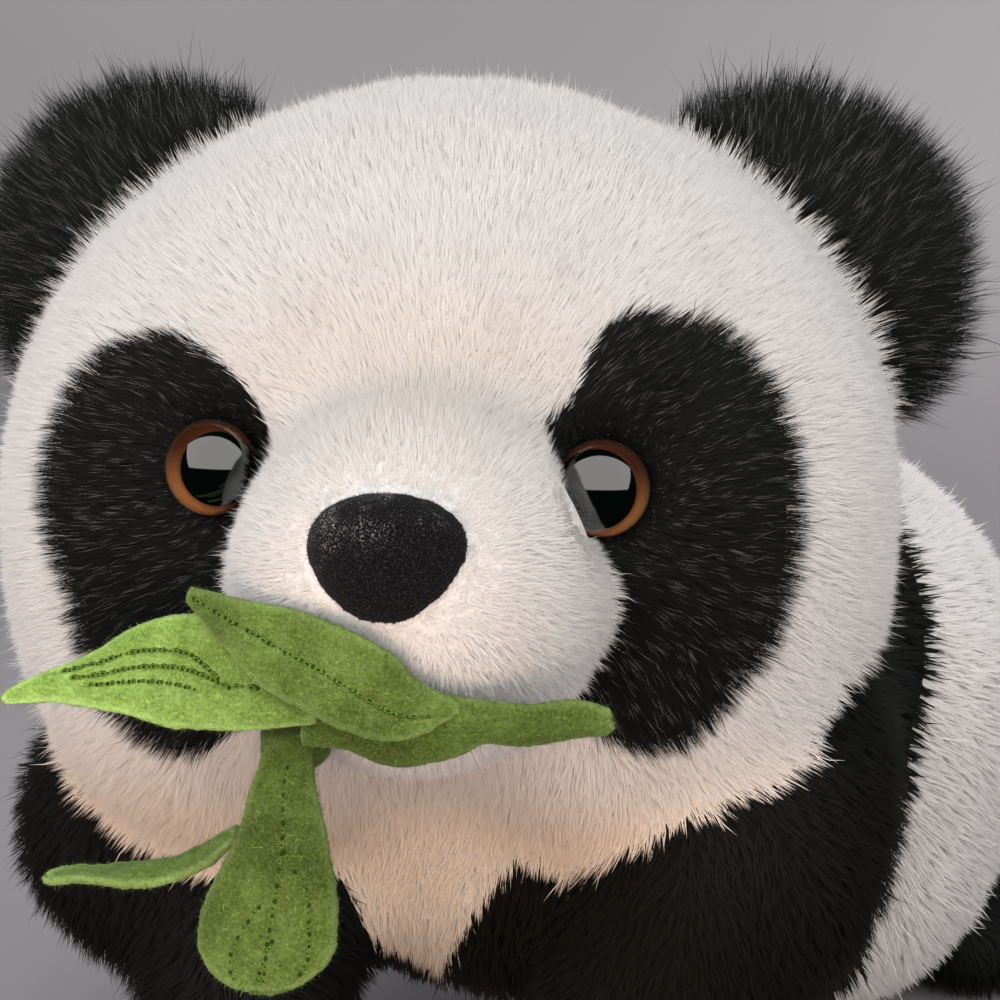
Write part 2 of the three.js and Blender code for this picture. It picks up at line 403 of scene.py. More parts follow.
@dataclass(frozen=True)
class BackingFinish:
    """The knitted backing under the pile, in the pile's own colours, with the roots of the pile as bump."""

    name: str = "pile_backing"
    white: Colour = (0.89, 0.855, 0.825)
    root_pitch: float = 0.9 * MM
    root_height: float = 0.5 * MM
    mottle: Span = (0.2, 0.8)
    edge: Span = (0.4, 0.6)  # how black the skin is where a mark begins and where it is full

    def build(self) -> bpy.types.Material:
        """The material of the skin."""
        graph = Graph(self.name)
        dark = graph.add("ShaderNodeAttribute", {"attribute_name": "dark"}).wire("Fac")
        mottled = graph.noise(0.5 / self.root_pitch).step(*self.mottle)
        white = graph.blend(mottled, self.white, WHITE_PILE.tip)
        black = graph.blend(mottled, BLACK_PILE.root, BLACK_PILE.tip)
        inputs = {"Vector": graph.place(), "Scale": 1.0 / self.root_pitch}
        roots = graph.add("ShaderNodeTexVoronoi", None, inputs).wire("Distance")
        inputs = {
            "Base Color": graph.blend(dark.step(*self.edge), white, black),
            "Roughness": 0.9,
            "Specular IOR Level": 0.15,
            "Normal": graph.bump(1.0 - roots, self.root_height),
        }
        return graph.finish(inputs)


@dataclass(frozen=True)
class FlockFinish:
    """The nose's black flock, with paler specks."""

    name: str = "black_flock"
    base: Colour = (0.0022, 0.0020, 0.0025)
    speck: Colour = (0.34, 0.34, 0.35)
    fibres: float = 2900.0  # to a metre, as the clouds of specks are
    clouds: float = 170.0
    upward: float = 1.5  # how strongly the specks gather toward the top
    rightward: float = 0.8  # and toward the toy's right
    gathered: Span = (-0.15, 0.75)
    least: float = 0.07  # how many specks show outside their clouds
    height: float = 0.25 * MM

    def build(self) -> bpy.types.Material:
        """The material of the nose and its flock, with most of its specks on the upper right side."""
        graph = Graph(self.name)
        low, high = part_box("nose")
        middle = tuple((a + b) / 2 for a, b in zip(low, high))
        size = tuple(b - a for a, b in zip(low, high))
        _, (left, _, up) = graph.own_axes({"Location": middle, "Scale": size})
        upper = (up * self.upward - left * self.rightward).step(*self.gathered)
        fine = graph.noise(self.fibres, 2.0)
        speck_clouds = graph.noise(self.clouds, 2.0).step(0.40, 0.66) * upper
        share = fine.step(0.52, 0.66) * (self.least + (1.0 - self.least) * speck_clouds)
        inputs = {
            "Base Color": graph.blend(share, self.base, self.speck),
            "Roughness": 0.92,
            "Specular IOR Level": 0.2,
            "Sheen Weight": 0.07,
            "Sheen Roughness": 0.5,
            "Normal": graph.bump(fine, self.height),
        }
        return graph.finish(inputs)


@dataclass(frozen=True)
class EyeFinish:
    """A glossy dome painted behind: black pupil on amber, darker toward pupil and brim; painted shade at
    top and nose side.
    """

    side: str
    middle: Spot
    turn: float
    radius: float
    pupil: float
    pupil_shift: float
    slant: float
    black: Colour = (0.0010, 0.0022, 0.0018)
    amber: tuple[Colour, Colour] = ((0.27, 0.105, 0.034), (0.41, 0.170, 0.062))
    shade: Colour = (0.045, 0.014, 0.007)  # painted shade on the amber's top and on the side next to the nose
    brim: Colour = (0.05, 0.018, 0.008)
    brim_from: float = 0.93  # the share of the radius where the brim's colour begins
    brown: Colour = (0.07, 0.022, 0.008)  # the amber next to the pupil
    brown_width: float = 1.1 * MM
    pupil_blur: float = 0.12 * MM

    def build(self) -> bpy.types.Material:
        """The material of one eye, painted round its own axis.

        The pupil lies deep behind the dome, so it is painted where it shows from in front of the nose.
        """
        graph = Graph(f"eye_{self.side}")
        seat = {"Location": self.middle, "Rotation": (0.0, 0.0, self.turn)}
        own, (across, inward, up) = graph.own_axes(seat)
        seen = across * math.cos(self.slant) + inward * math.sin(self.slant)
        shifted = seen - self.pupil_shift
        from_pupil = (shifted * shifted + up * up) ** 0.5
        from_axis = (across * across + up * up) ** 0.5
        pupil, radius = self.pupil, self.radius
        amber = graph.blend(graph.noise(700.0, 3.0, own), *self.amber)
        # Painted shade: the amber darkens toward its top and toward the side next to the nose.
        amber = graph.blend((up / radius).step(-0.75, 0.55), amber, self.shade)
        nose_side = (across / radius * math.copysign(1.0, self.slant)).step(-0.1, 0.9)
        amber = graph.blend(nose_side * 0.75, amber, self.shade)
        amber = graph.blend(from_axis.step(radius * self.brim_from, radius), amber, self.brim)
        ring = from_pupil.step(pupil - self.pupil_blur, pupil + self.pupil_blur)
        edge = 1.0 - from_pupil.step(pupil, pupil + self.brown_width)
        amber = graph.blend(edge * 0.65, amber, self.brown)
        inputs = {
            "Base Color": graph.blend(ring, self.black, amber),
            "Roughness": 0.06,
            "Specular IOR Level": 0.9,
            "Coat Weight": 1.0,
            "Coat Roughness": 0.02,
            "Coat IOR": 1.75,
        }
        return graph.finish(inputs)


@dataclass(frozen=True)
class FeltFinish:
    """Green wool felt: matted fibres partly shaded in paint, blotches of tone, a paler cut edge, and
    painted light and shade.
    """

    name: str = "green_felt"
    deep: Colour = (0.075, 0.120, 0.018)
    mid: Colour = (0.190, 0.275, 0.050)
    pale: Colour = (0.42, 0.56, 0.19)
    darkest: Colour = (0.30, 0.30, 0.27)  # painted shade: what the felt's colour is multiplied by where its tone is 0
    lightest: Colour = (2.0, 2.26, 2.3)  # painted light: what it is multiplied by where its tone is 1
    blotches: float = 0.22  # how much paler the blotches, the top fibres and the cut edge are
    top_fibres: float = 0.45
    cut_edge: float = 0.40
    fine: float = 1500.0  # fibres to a metre
    laid: tuple[tuple[float, Spot], ...] = (  # the turn of each layer, and its fibres to a metre each way
        (0.6, (400.0, 2600.0, 1500.0)),
        (-0.9, (2600.0, 500.0, 1700.0)),
    )
    tilt: float = 0.4
    height: float = 0.6 * MM

    def build(self) -> bpy.types.Material:
        """The material of the leaves and their loose fibres."""
        graph = Graph(self.name)
        _, tone, edge = graph.pile()
        fibres = self._fibres(graph)
        blotch = graph.noise(220.0, 4.0)
        # Deep green where the fibres lie low, in the bump's own pattern: partly the wool's mixed fibres,
        # partly painted shade between them.
        colour = graph.blend(fibres.step(0.34, 0.66), self.deep, self.mid)
        colour = graph.blend(blotch.step(0.3, 0.8) * self.blotches, colour, self.pale)
        # the top fibres are paler: partly their own tone, partly a painted highlight
        colour = graph.blend(fibres.step(0.56, 0.72) * self.top_fibres, colour, self.pale)
        colour = graph.blend(edge * self.cut_edge, colour, self.pale)
        # The tone paints light and shade: the colour is multiplied from the painted shade factor up to the
        # painted light factor.
        inputs = {
            "Base Color": graph.times(colour, graph.blend(tone, self.darkest, self.lightest)),
            "Roughness": 0.95,
            "Specular IOR Level": 0.15,
            "Sheen Weight": 0.25,
            "Sheen Roughness": 0.4,
            "Sheen Tint": (0.75, 1.0, 0.5),
            "Normal": graph.bump(fibres, self.height),
        }
        return graph.finish(inputs)

    def _fibres(self, graph: Graph) -> Wire:
        """Matted fibres: long thin noise laid in two directions, with fine noise over it."""
        total = graph.noise(self.fine, 3.0)
        for turn, stretch in self.laid:
            inputs = {"Vector": graph.place(), "Rotation": (turn, self.tilt, turn), "Scale": stretch}
            layer = graph.add("ShaderNodeMapping", None, inputs).wire()
            total = total + graph.noise(1.0, 2.0, layer)
        return total / (1.0 + len(self.laid))


@dataclass(frozen=True)
class ThreadFinish:
    """Sewing thread: its colour, with the twist of its plies as bump and a painted highlight on the raised
    plies.
    """

    name: str = "stitch_thread"
    colour: Colour = (0.085, 0.150, 0.022)
    lighter: float = 2.2  # how many times lighter its raised plies are painted: a painted highlight
    plies: float = 3500.0  # to a metre
    height: float = 0.1 * MM

    def build(self) -> bpy.types.Material:
        """The material of the stitches."""
        graph = Graph(self.name)
        plies = graph.noise(self.plies, 2.0)
        # painted highlight: the raised plies, the bump's high points, are painted lighter
        highlit_plies = tuple(self.lighter * c for c in self.colour)
        inputs = {
            "Base Color": graph.blend(plies.step(0.4, 0.8), self.colour, highlit_plies),
            "Roughness": 0.8,
            "Specular IOR Level": 0.15,
            "Normal": graph.bump(plies, self.height),
        }
        return graph.finish(inputs)


@dataclass(frozen=True)
class StitchShadowFinish:
    """Painted shadow: the dark felt that a stitch pulls down beside its loop and round its needle hole."""

    name: str = "needle_hole"
    deep: Colour = (0.010, 0.024, 0.003)
    mid: Colour = (0.036, 0.074, 0.009)
    fluff: float = 3000.0  # fibres to a metre
    height: float = 0.1 * MM

    def build(self) -> bpy.types.Material:
        """The material of the painted stitch shadows."""
        graph = Graph(self.name)
        fluff = graph.noise(self.fluff, 2.0)
        inputs = {
            "Base Color": graph.blend(fluff, self.deep, self.mid),
            "Roughness": 0.95,
            "Specular IOR Level": 0.1,
            "Normal": graph.bump(fluff, self.height),
        }
        return graph.finish(inputs)


@dataclass(frozen=True)
class StudioFinish:
    """Plain matt paint for the floor and backdrop."""

    floor: Colour = (0.34, 0.325, 0.34)
    wall: Colour = (0.56, 0.545, 0.54)
    wall_from: float = 0.6  # the height where the floor's paint has turned to the wall's
    cloud: Colour = (0.93, 0.93, 0.93)

    def build(self) -> bpy.types.Material:
        """The material of the floor and the wall that it curves up into."""
        graph = Graph("studio_floor")
        height = graph.add("ShaderNodeSeparateXYZ", None, {0: graph.place()}).wire(2)
        colour = graph.blend(height.step(0.0, self.wall_from), self.floor, self.wall)
        colour = graph.times(colour, graph.blend(graph.noise(2.0, 2.0), self.cloud, WHITE))
        return graph.finish({"Base Color": colour, "Roughness": 0.9})


# Pieces ----------------------------------------------------------------------------------------------


def middle_of(node: str) -> np.ndarray:
    """The middle of a CAD node's box."""
    return np.mean(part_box(node), axis=0)


def linked(name: str, data: bpy.types.ID) -> bpy.types.Object:
    """A new object of that name in the scene."""
    made = bpy.data.objects.new(name, data)
    bpy.context.scene.collection.objects.link(made)
    return made


def placed(name: str, mesh: bpy.types.Mesh, material: bpy.types.Material) -> bpy.types.Object:
    """Puts a mesh in the scene as a piece of the toy.

    Args:
        name: The piece's name.
        mesh: Its mesh, in the frame's axes.
        material: Its finish.

    Returns:
        The piece, riding on the toy's one body.
    """
    piece = linked(name, mesh)
    mesh.name = name
    mesh.materials.clear()
    mesh.materials.append(material)
    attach(piece, "root")
    LOG.info("%s: %d faces", name, len(mesh.polygons))
    return piece


def from_bmesh(shape: bmesh.types.BMesh) -> bpy.types.Mesh:
    """A bmesh as a mesh, with its faces turned outward; the bmesh is freed."""
    bmesh.ops.recalc_face_normals(shape, faces=shape.faces)
    if shape.calc_volume(signed=True) < 0.0:
        bmesh.ops.reverse_faces(shape, faces=shape.faces)
    mesh = bpy.data.meshes.new("shape")
    shape.to_mesh(mesh)
    shape.free()
    return mesh


def merged_nodes(names: list[str]) -> bmesh.types.BMesh:
    """The meshes of some CAD nodes in one bmesh, with their loose triangles merged."""
    shape = bmesh.new()
    for name in names:
        shape.from_mesh(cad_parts[name].data)
    bmesh.ops.remove_doubles(shape, verts=shape.verts, dist=0.001 * MM)
    return shape


def remeshed(mesh: bpy.types.Mesh, voxel: float) -> bpy.types.Mesh:
    """The mesh as one closed skin of small even faces."""
    carrier = linked("remesh", mesh)
    modifier = carrier.modifiers.new("even", "REMESH")
    modifier.mode = "VOXEL"
    modifier.voxel_size = voxel
    depsgraph = bpy.context.evaluated_depsgraph_get()
    even = bpy.data.meshes.new_from_object(carrier.evaluated_get(depsgraph))
    bpy.data.objects.remove(carrier)
    return even


def coordinates(mesh: bpy.types.Mesh) -> np.ndarray:
    """The mesh's vertices, one row each."""
    points = np.empty(len(mesh.vertices) * 3, np.float32)
    mesh.vertices.foreach_get("co", points)
    return points.reshape(-1, 3).astype(float)


def move_to(mesh: bpy.types.Mesh, points: np.ndarray) -> None:
    """Moves the mesh's vertices to the points."""
    mesh.vertices.foreach_set("co", points.astype(np.float32).ravel())
    mesh.update()


def spin_round(shape: bmesh.types.BMesh, geometry: list, axis: Spot, steps: int) -> None:
    """Spins a profile all the way round an axis through the origin."""
    turn = {"axis": axis, "angle": 2.0 * math.pi, "steps": steps, "use_merge": True}
    bmesh.ops.spin(shape, geom=geometry, cent=(0.0, 0.0, 0.0), **turn)


def mesh_of(points: np.ndarray, faces: np.ndarray) -> bpy.types.Mesh:
    """A mesh from rows of points and faces that all have as many corners."""
    mesh = bpy.data.meshes.new("strands")
    corners = faces.shape[1]
    mesh.vertices.add(len(points))
    mesh.vertices.foreach_set("co", points.astype(np.float32).ravel())
    mesh.loops.add(faces.size)
    mesh.loops.foreach_set("vertex_index", faces.astype(np.int32).ravel())
    mesh.polygons.add(len(faces))
    mesh.polygons.foreach_set("loop_start", np.arange(0, faces.size, corners, dtype=np.int32))
    mesh.update(calc_edges=True)
    return mesh


def paint(mesh: bpy.types.Mesh, along: np.ndarray, tone: np.ndarray, warmth: np.ndarray) -> None:
    """Writes the attribute that the pile and felt finishes read, one value for each vertex."""
    values = np.ones((len(along), 4), np.float32)
    values[:, 0], values[:, 1], values[:, 2] = along, tone, warmth
    mesh.attributes.new(PILE, "FLOAT_COLOR", "POINT").data.foreach_set("color", values.ravel())


# The stuffed skin ------------------------------------------------------------------------------------


@dataclass(frozen=True)
class Cut:
    """How the pile of one region is cut and laid: length, lean from upright in degrees, strands to a
    square millimetre, the width of a strand, how much neighbours differ, and the skin's depth."""

    length: float
    lean: float
    density: float
    width: float
    unruly: float
    depth: float


class Region(Enum):
    """The regions of the toy whose pile is cut alike, with the CAD nodes that make them."""

    HEAD = ("head",)
    MUZZLE = ("muzzle",)
    EARS = ("ear_right", "ear_left")
    TRUNK = ("trunk",)
    TAIL = ("tail",)
    FORELEGS = ("foreleg_right", "foreleg_left")
    HINDLEGS = ("hindleg_right", "hindleg_left")


REGIONS = tuple(Region)
FLESH = [node for region in REGIONS for node in region.value]
ON_HEAD = (Region.HEAD, Region.MUZZLE, Region.EARS)
CREASE_BEHIND_CHEEK: Span = (-94 * MM, -72 * MM)  # from the chin's front edge to the cheeks, along Y
CUTS = {
    Region.HEAD: Cut(5.3 * MM, 31.0, 3.95, 0.26 * MM, 0.85, 4.2 * MM),
    Region.MUZZLE: Cut(3.7 * MM, 28.0, 6.0, 0.22 * MM, 1.1, 2.8 * MM),
    Region.EARS: Cut(12.0 * MM, 32.0, 3.2, 0.30 * MM, 1.5, 4.5 * MM),
    Region.TRUNK: Cut(6.6 * MM, 43.0, 0.68, 0.74 * MM, 0.9, 4.8 * MM),
    Region.TAIL: Cut(7.2 * MM, 43.0, 1.1, 0.60 * MM, 1.1, 4.8 * MM),
    Region.FORELEGS: Cut(6.2 * MM, 44.0, 0.92, 0.46 * MM, 1.0, 4.3 * MM),
    Region.HINDLEGS: Cut(6.2 * MM, 44.0, 0.75, 0.50 * MM, 1.0, 4.3 * MM),
}


def share_of(region: Region, shares: np.ndarray) -> np.ndarray:
    """The share of one region, from rows of shares of them all."""
    return shares[:, REGIONS.index(region)]


@dataclass
class SkinShape:
    """The skin as arrays: where its vertices are, which way they face, and their share of each region."""

    points: np.ndarray
    normals: np.ndarray
    triangles: np.ndarray
    edges: np.ndarray
    shares: np.ndarray = field(default_factory=lambda: np.empty(0))

    @classmethod
    def of(cls, mesh: bpy.types.Mesh) -> "SkinShape":
        """The arrays of a mesh."""
        points = coordinates(mesh)
        normals = np.array([v.vector for v in mesh.vertex_normals], float)
        mesh.calc_loop_triangles()
        triangles = np.empty(len(mesh.loop_triangles) * 3, np.int32)
        mesh.loop_triangles.foreach_get("vertices", triangles)
        edges = np.empty(len(mesh.edges) * 2, np.int32)
        mesh.edges.foreach_get("vertices", edges)
        return cls(points, normals, triangles.reshape(-1, 3), edges.reshape(-1, 2))

    def relaxed(self, values: np.ndarray, rounds: int) -> np.ndarray:
        """Values smoothed along the skin, each half of the way toward the mean of its neighbours.

        Args:
            values: One row for each vertex.
            rounds: How many times.

        Returns:
            The smoothed values.
        """
        one, other = self.edges.T
        count = len(self.points)
        near = np.bincount(one, minlength=count) + np.bincount(other, minlength=count)
        rows = values.reshape(count, -1).copy()
        for _ in range(rounds):
            for k in range(rows.shape[1]):
                total = np.bincount(one, rows[other, k], count) + np.bincount(other, rows[one, k], count)
                rows[:, k] += 0.5 * (total / np.maximum(near, 1) - rows[:, k])
        return rows.reshape(values.shape)

    def of_regions(self, trees: dict[Region, BVHTree], rounds: int, rise: float = 0.0) -> np.ndarray:
        """Each vertex's share of each region, from the nearest CAD nodes, smoothed.

        Args:
            trees: The surface of each region.
            rounds: How often the shares are smoothed.
            rise: How much nearer the head has to be than the body, to be chosen in the crease
                behind a cheek.

        Returns:
            The shares, one row for each vertex.
        """
        near = np.array([[tree.find_nearest(p)[3] for tree in trees.values()] for p in self.points])
        behind = column(ramp(*CREASE_BEHIND_CHEEK, self.points[:, 1]))
        near += behind * [rise * (region in ON_HEAD) for region in trees]
        return self.relaxed((near == near.min(1, keepdims=True)).astype(float), rounds)

    def cut(self, measure: str) -> np.ndarray:
        """One measure of the regions' cuts, mixed by each vertex's shares."""
        return self.shares @ np.array([getattr(CUTS[region], measure) for region in REGIONS])


@dataclass
class StuffedSkin:
    """The stuffed cloth skin of head, muzzle, ears, trunk, tail and legs, sewn into one.

    It lies inside the CAD solids by the depth of the pile that stands on it.
    """

    voxel: float = 2.8 * MM
    outer_rounding: int = 8  # rounds of smoothing, of the surface and then of what lies on it
    outer_blur: int = 8
    normal_blur: int = 4
    depth_blur: int = 6
    inner_rounding: int = 5
    region_blur: int = 3
    crease_rise: float = 4.5 * MM

    def build(self) -> SkinShape:
        """Shapes the skin and works out its regions.

        Returns:
            The skin as arrays.
        """
        trees = {region: self._tree(region) for region in REGIONS}
        outer = SkinShape.of(remeshed(from_bmesh(merged_nodes(FLESH)), self.voxel))
        outer.points = outer.relaxed(outer.points, self.outer_rounding)
        outer.shares = outer.of_regions(trees, self.outer_blur)
        depth = outer.relaxed(outer.cut("depth"), self.depth_blur)
        inner = outer.points - outer.relaxed(outer.normals, self.normal_blur) * column(depth)
        self.mesh = remeshed(mesh_of(inner, outer.triangles), self.voxel)
        skin = SkinShape.of(self.mesh)
        skin.points = skin.relaxed(skin.points, self.inner_rounding)
        move_to(self.mesh, skin.points)
        skin.normals = unit(skin.relaxed(SkinShape.of(self.mesh).normals, self.inner_rounding))
        skin.shares = skin.of_regions(trees, self.region_blur, self.crease_rise)
        return skin

    @staticmethod
    def _tree(region: Region) -> BVHTree:
        """The surface of a region's CAD nodes, to find the nearest point of."""
        shape = merged_nodes(list(region.value))
        tree = BVHTree.FromBMesh(shape)
        shape.free()
        return tree

    def dress(self, dark: np.ndarray) -> bpy.types.Object:
        """Adds the skin to the scene as a piece of the toy.

        Args:
            dark: How black each vertex is.

        Returns:
            The skin.
        """
        attribute = self.mesh.attributes.new("dark", "FLOAT", "POINT")
        attribute.data.foreach_set("value", dark.astype(np.float32))
        self.mesh.shade_smooth()
        piece = placed("skin", self.mesh, BackingFinish().build())
        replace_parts(piece, *FLESH)
        return piece


# Markings --------------------------------------------------------------------------------------------


@dataclass(frozen=True)
class Blot:
    """An upright oval on the face: its middle and half sizes, in the head's X and Z."""

    x: float
    z: float
    half_width: float
    half_height: float

    def reach(self, points: np.ndarray) -> np.ndarray:
        """How far out from its middle each point lies, 1 on the oval itself."""
        across = (points[:, 0] - self.x) / self.half_width
        return np.hypot(across, (points[:, 2] - self.z) / self.half_height)

    def depth(self, points: np.ndarray) -> np.ndarray:
        """About how far each point lies inside the oval."""
        return (1.0 - self.reach(points)) * min(self.half_width, self.half_height)

    def glow(self, points: np.ndarray) -> np.ndarray:
        """A soft glow round its middle, from 1 down to 0."""
        return np.exp(-(self.reach(points) ** 2))


@dataclass(frozen=True)
class Markings:
    """Where the pile is black: the eye patches, ears, legs and the band over the shoulders; and its painted
    warm shade.
    """

    place: HeadPlace
    patches: tuple[Blot, ...] = (
        Blot(-55.5 * MM, -4.5 * MM, 26.5 * MM, 32 * MM),
        Blot(-52.5 * MM, -28.5 * MM, 22 * MM, 31 * MM),
        Blot(49.5 * MM, -7.5 * MM, 25.5 * MM, 40.5 * MM),
        Blot(46.5 * MM, -25 * MM, 20.5 * MM, 30 * MM),
        Blot(43 * MM, 18.5 * MM, 12.5 * MM, 15.5 * MM),
        Blot(31 * MM, 8 * MM, 9 * MM, 5 * MM),
    )
    band_back: float = -11 * MM  # where the band ends, between its two heights
    band_heights: Span = (70 * MM, 112 * MM)
    band_slants: Span = (0.62, 0.50)  # how much further back it ends below and above them
    bib_tip: float = 50 * MM
    bib_middle: float = -6 * MM
    bib_spread: float = 0.78
    bib_half: float = 40 * MM
    bib_front: float = -60 * MM  # the bib lies further forward than this, and the patches than the next
    face_front: float = -12 * MM
    edge: float = 6 * MM  # how far a share of one region reads as a distance
    crease: Blot = Blot(0.0, 21 * MM, 34 * MM, 16 * MM)
    crease_front: float = -40 * MM
    nose: Blot = Blot(0.0, -6 * MM, 16 * MM, 16 * MM)
    chin_heights: Span = (-44 * MM, -84 * MM)  # where the painted warm shade begins and is full, down and forward
    chin_depths: Span = (40 * MM, 5 * MM)
    warmths: tuple[float, float, float] = (0.22, 0.12, 0.62)  # of the painted warm shade and bounce light in the crease, round the nose and under the chin

    def dark(self, points: np.ndarray, shares: np.ndarray) -> np.ndarray:
        """How far inside a black mark each point lies, in metres, negative on white.

        Args:
            points: The points, in the frame's axes.
            shares: Each point's share of each region.

        Returns:
            The depths.
        """
        share = {region: share_of(region, shares) for region in REGIONS}
        own = self.place.inward(points)
        patch = np.max([blot.depth(own) for blot in self.patches], axis=0)
        on_face = (own[:, 1] < self.face_front) & (share[Region.HEAD] > 0.5)
        patch = np.where(on_face, patch, -self.edge)
        beyond = [self.band_heights[0] - points[:, 2], points[:, 2] - self.band_heights[1]]
        further = [slant * np.maximum(gap, 0.0) for slant, gap in zip(self.band_slants, beyond)]
        band = self.band_back + sum(further) - points[:, 1]
        trunk = np.where(share[Region.TRUNK] > 0.5, np.minimum(band, -self.bib(points)), -self.edge)
        black = share[Region.EARS] + share[Region.FORELEGS] + share[Region.HINDLEGS]
        return np.maximum(np.maximum(patch, trunk), (black - 0.5) * self.edge)

    def bib(self, points: np.ndarray) -> np.ndarray:
        """How far inside the white bib on the chest each point lies."""
        bib = np.minimum((points[:, 2] - self.bib_tip) * self.bib_spread, self.bib_half)
        bib = bib - np.abs(points[:, 0] - self.bib_middle)
        return np.where(points[:, 1] < self.bib_front, bib, -self.edge)

    def warmth(self, points: np.ndarray, shares: np.ndarray) -> np.ndarray:
        """Painted warm shade and bounce light on the pile: most in the crease over the muzzle and under the
        chin.
        """
        own = self.place.inward(points)
        crease = self.crease.glow(own) * (own[:, 1] < self.crease_front)
        nose = self.nose.glow(own) * share_of(Region.MUZZLE, shares)
        chin = ramp(*self.chin_heights, own[:, 2]) * ramp(*self.chin_depths, own[:, 1])
        return np.clip(sum(warm * part for warm, part in zip(self.warmths, (crease, nose, chin))), 0.0, 1.0)


# The pile --------------------------------------------------------------------------------------------


@dataclass
class PileFlow:
    """Which way the pile is brushed on each region."""

    place: HeadPlace
    nose_height: float = -10 * MM
    muzzle_back: float = 12 * MM
    ear_root: Spot = (52 * MM, 14 * MM, 10 * MM)
    face_lean: Spot = (0.0, 0.35, -0.12)
    down_behind: Spot = (0.0, 0.25, -1.0)
    crown: Span = (5 * MM, 55 * MM)  # where the pile turns over the top of the head to lie down its back
    blur: int = 6

    def on(self, skin: SkinShape) -> np.ndarray:
        """The brushed direction at each vertex, along the skin; where it is short, pile stands up."""
        own = self.place.inward(skin.points)
        outward = {
            Region.HEAD: self._head(own),
            Region.MUZZLE: self._muzzle(own),
            Region.EARS: self._ears(own),
        }
        total = np.zeros_like(skin.points)
        for k, region in enumerate(REGIONS):
            if region in outward:
                field_of_region = self.place.spin(unit(outward[region]), self.place.turn)
            else:
                field_of_region = unit(self._body(region, skin.normals))
            total += field_of_region * column(skin.shares[:, k])
        return skin.relaxed(flattened(total, skin.normals), self.blur)

    def _head(self, own: np.ndarray) -> np.ndarray:
        """From the muzzle up the forehead and out over the cheeks, then down the back of the head."""
        from_nose = unit(np.stack([own[:, 0], 0 * own[:, 0], own[:, 2] - self.nose_height], 1))
        share = column(ramp(*self.crown, own[:, 1]))
        face = unit(from_nose + np.array(self.face_lean))
        return face * (1.0 - share) + np.array(self.down_behind) * share

    def _muzzle(self, own: np.ndarray) -> np.ndarray:
        """Away from the nose on all sides."""
        return np.stack([own[:, 0], 0 * own[:, 0] + self.muzzle_back, own[:, 2] - self.nose_height], 1)

    def _ears(self, own: np.ndarray) -> np.ndarray:
        """From each ear's root to its rim."""
        x, y, z = self.ear_root
        side = np.sign(own[:, 0])
        return np.stack([own[:, 0] - side * x, 0.3 * (own[:, 1] - y), own[:, 2] - z], 1)

    @staticmethod
    def _body(region: Region, normals: np.ndarray) -> np.ndarray:
        """Backward and down over the body, down the legs."""
        ones = np.ones(len(normals))
        if region is Region.TRUNK:
            chest = ramp(-0.3, -0.8, normals[:, 1])
            side = np.abs(normals[:, 0])
            return np.stack([0 * ones, 1.0 - chest, -0.25 - 0.5 * side - chest], 1)
        if region is Region.TAIL:
            return np.stack([0 * ones, 0.6 * ones, -ones], 1)
        return np.stack([0 * ones, 0.3 * ones, -ones], 1)


@dataclass
class Scatter:
    """Spots spread over a skin: each one's triangle, as its three vertices, and its share of each."""

    corners: np.ndarray
    shares: np.ndarray

    @classmethod
    def over(cls, skin: SkinShape, density: np.ndarray, rng: np.random.Generator) -> "Scatter":
        """Spreads spots over a skin.

        Args:
            skin: The skin.
            density: How many there are to a square metre, at each of its vertices.
            rng: The source of their places.

        Returns:
            The spots.
        """
        a, b, c = (skin.points[skin.triangles[:, k]] for k in range(3))
        areas = np.linalg.norm(np.cross(b - a, c - a), axis=1) / 2
        total = np.cumsum(areas * density[skin.triangles].mean(1))
        which = np.minimum(np.searchsorted(total, np.arange(int(total[-1])) + 0.5), len(total) - 1)
        spread = rng.random((len(which), 2))
        spread = np.where(spread.sum(1, keepdims=True) > 1.0, 1.0 - spread, spread)
        shares = np.stack([1.0 - spread.sum(1), spread[:, 0], spread[:, 1]], 1)
        return cls(skin.triangles[which], shares)

    def at(self, values: np.ndarray) -> np.ndarray:
        """Values of the skin's vertices at the spots."""
        rows = values[self.corners]
        return (rows * self.shares.reshape(self.shares.shape + (1,) * (rows.ndim - 2))).sum(1)


class Rows:
    """Arrays that have one row for each clump or strand."""

    def kept(self, chosen: np.ndarray) -> "Rows":
        """Only the chosen rows."""
        return type(self)(*(getattr(self, name)[chosen] for name in self.__dataclass_fields__))


@dataclass
class Roots(Rows):
    """Where strands stand: their clump's place, how it lies and what it looks like."""

    points: np.ndarray
    normals: np.ndarray
    flow: np.ndarray
    shares: np.ndarray
    length: np.ndarray
    lean: np.ndarray
    width: np.ndarray
    unruly: np.ndarray


@dataclass(frozen=True)
class Spike:
    """The shape of a strand, in half widths, how its corners take the light, and its size unwrapped."""

    taper: float = 0.45  # how much thinner its last ring would be
    ridge: float = 0.7
    skin_light: float = 0.85
    ridge_light: float = 0.4
    tip_light: float = 0.3
    patch: float = 0.003
    patch_taper: float = 0.5
    ridge_shift: float = 0.15


SPIKE = Spike()


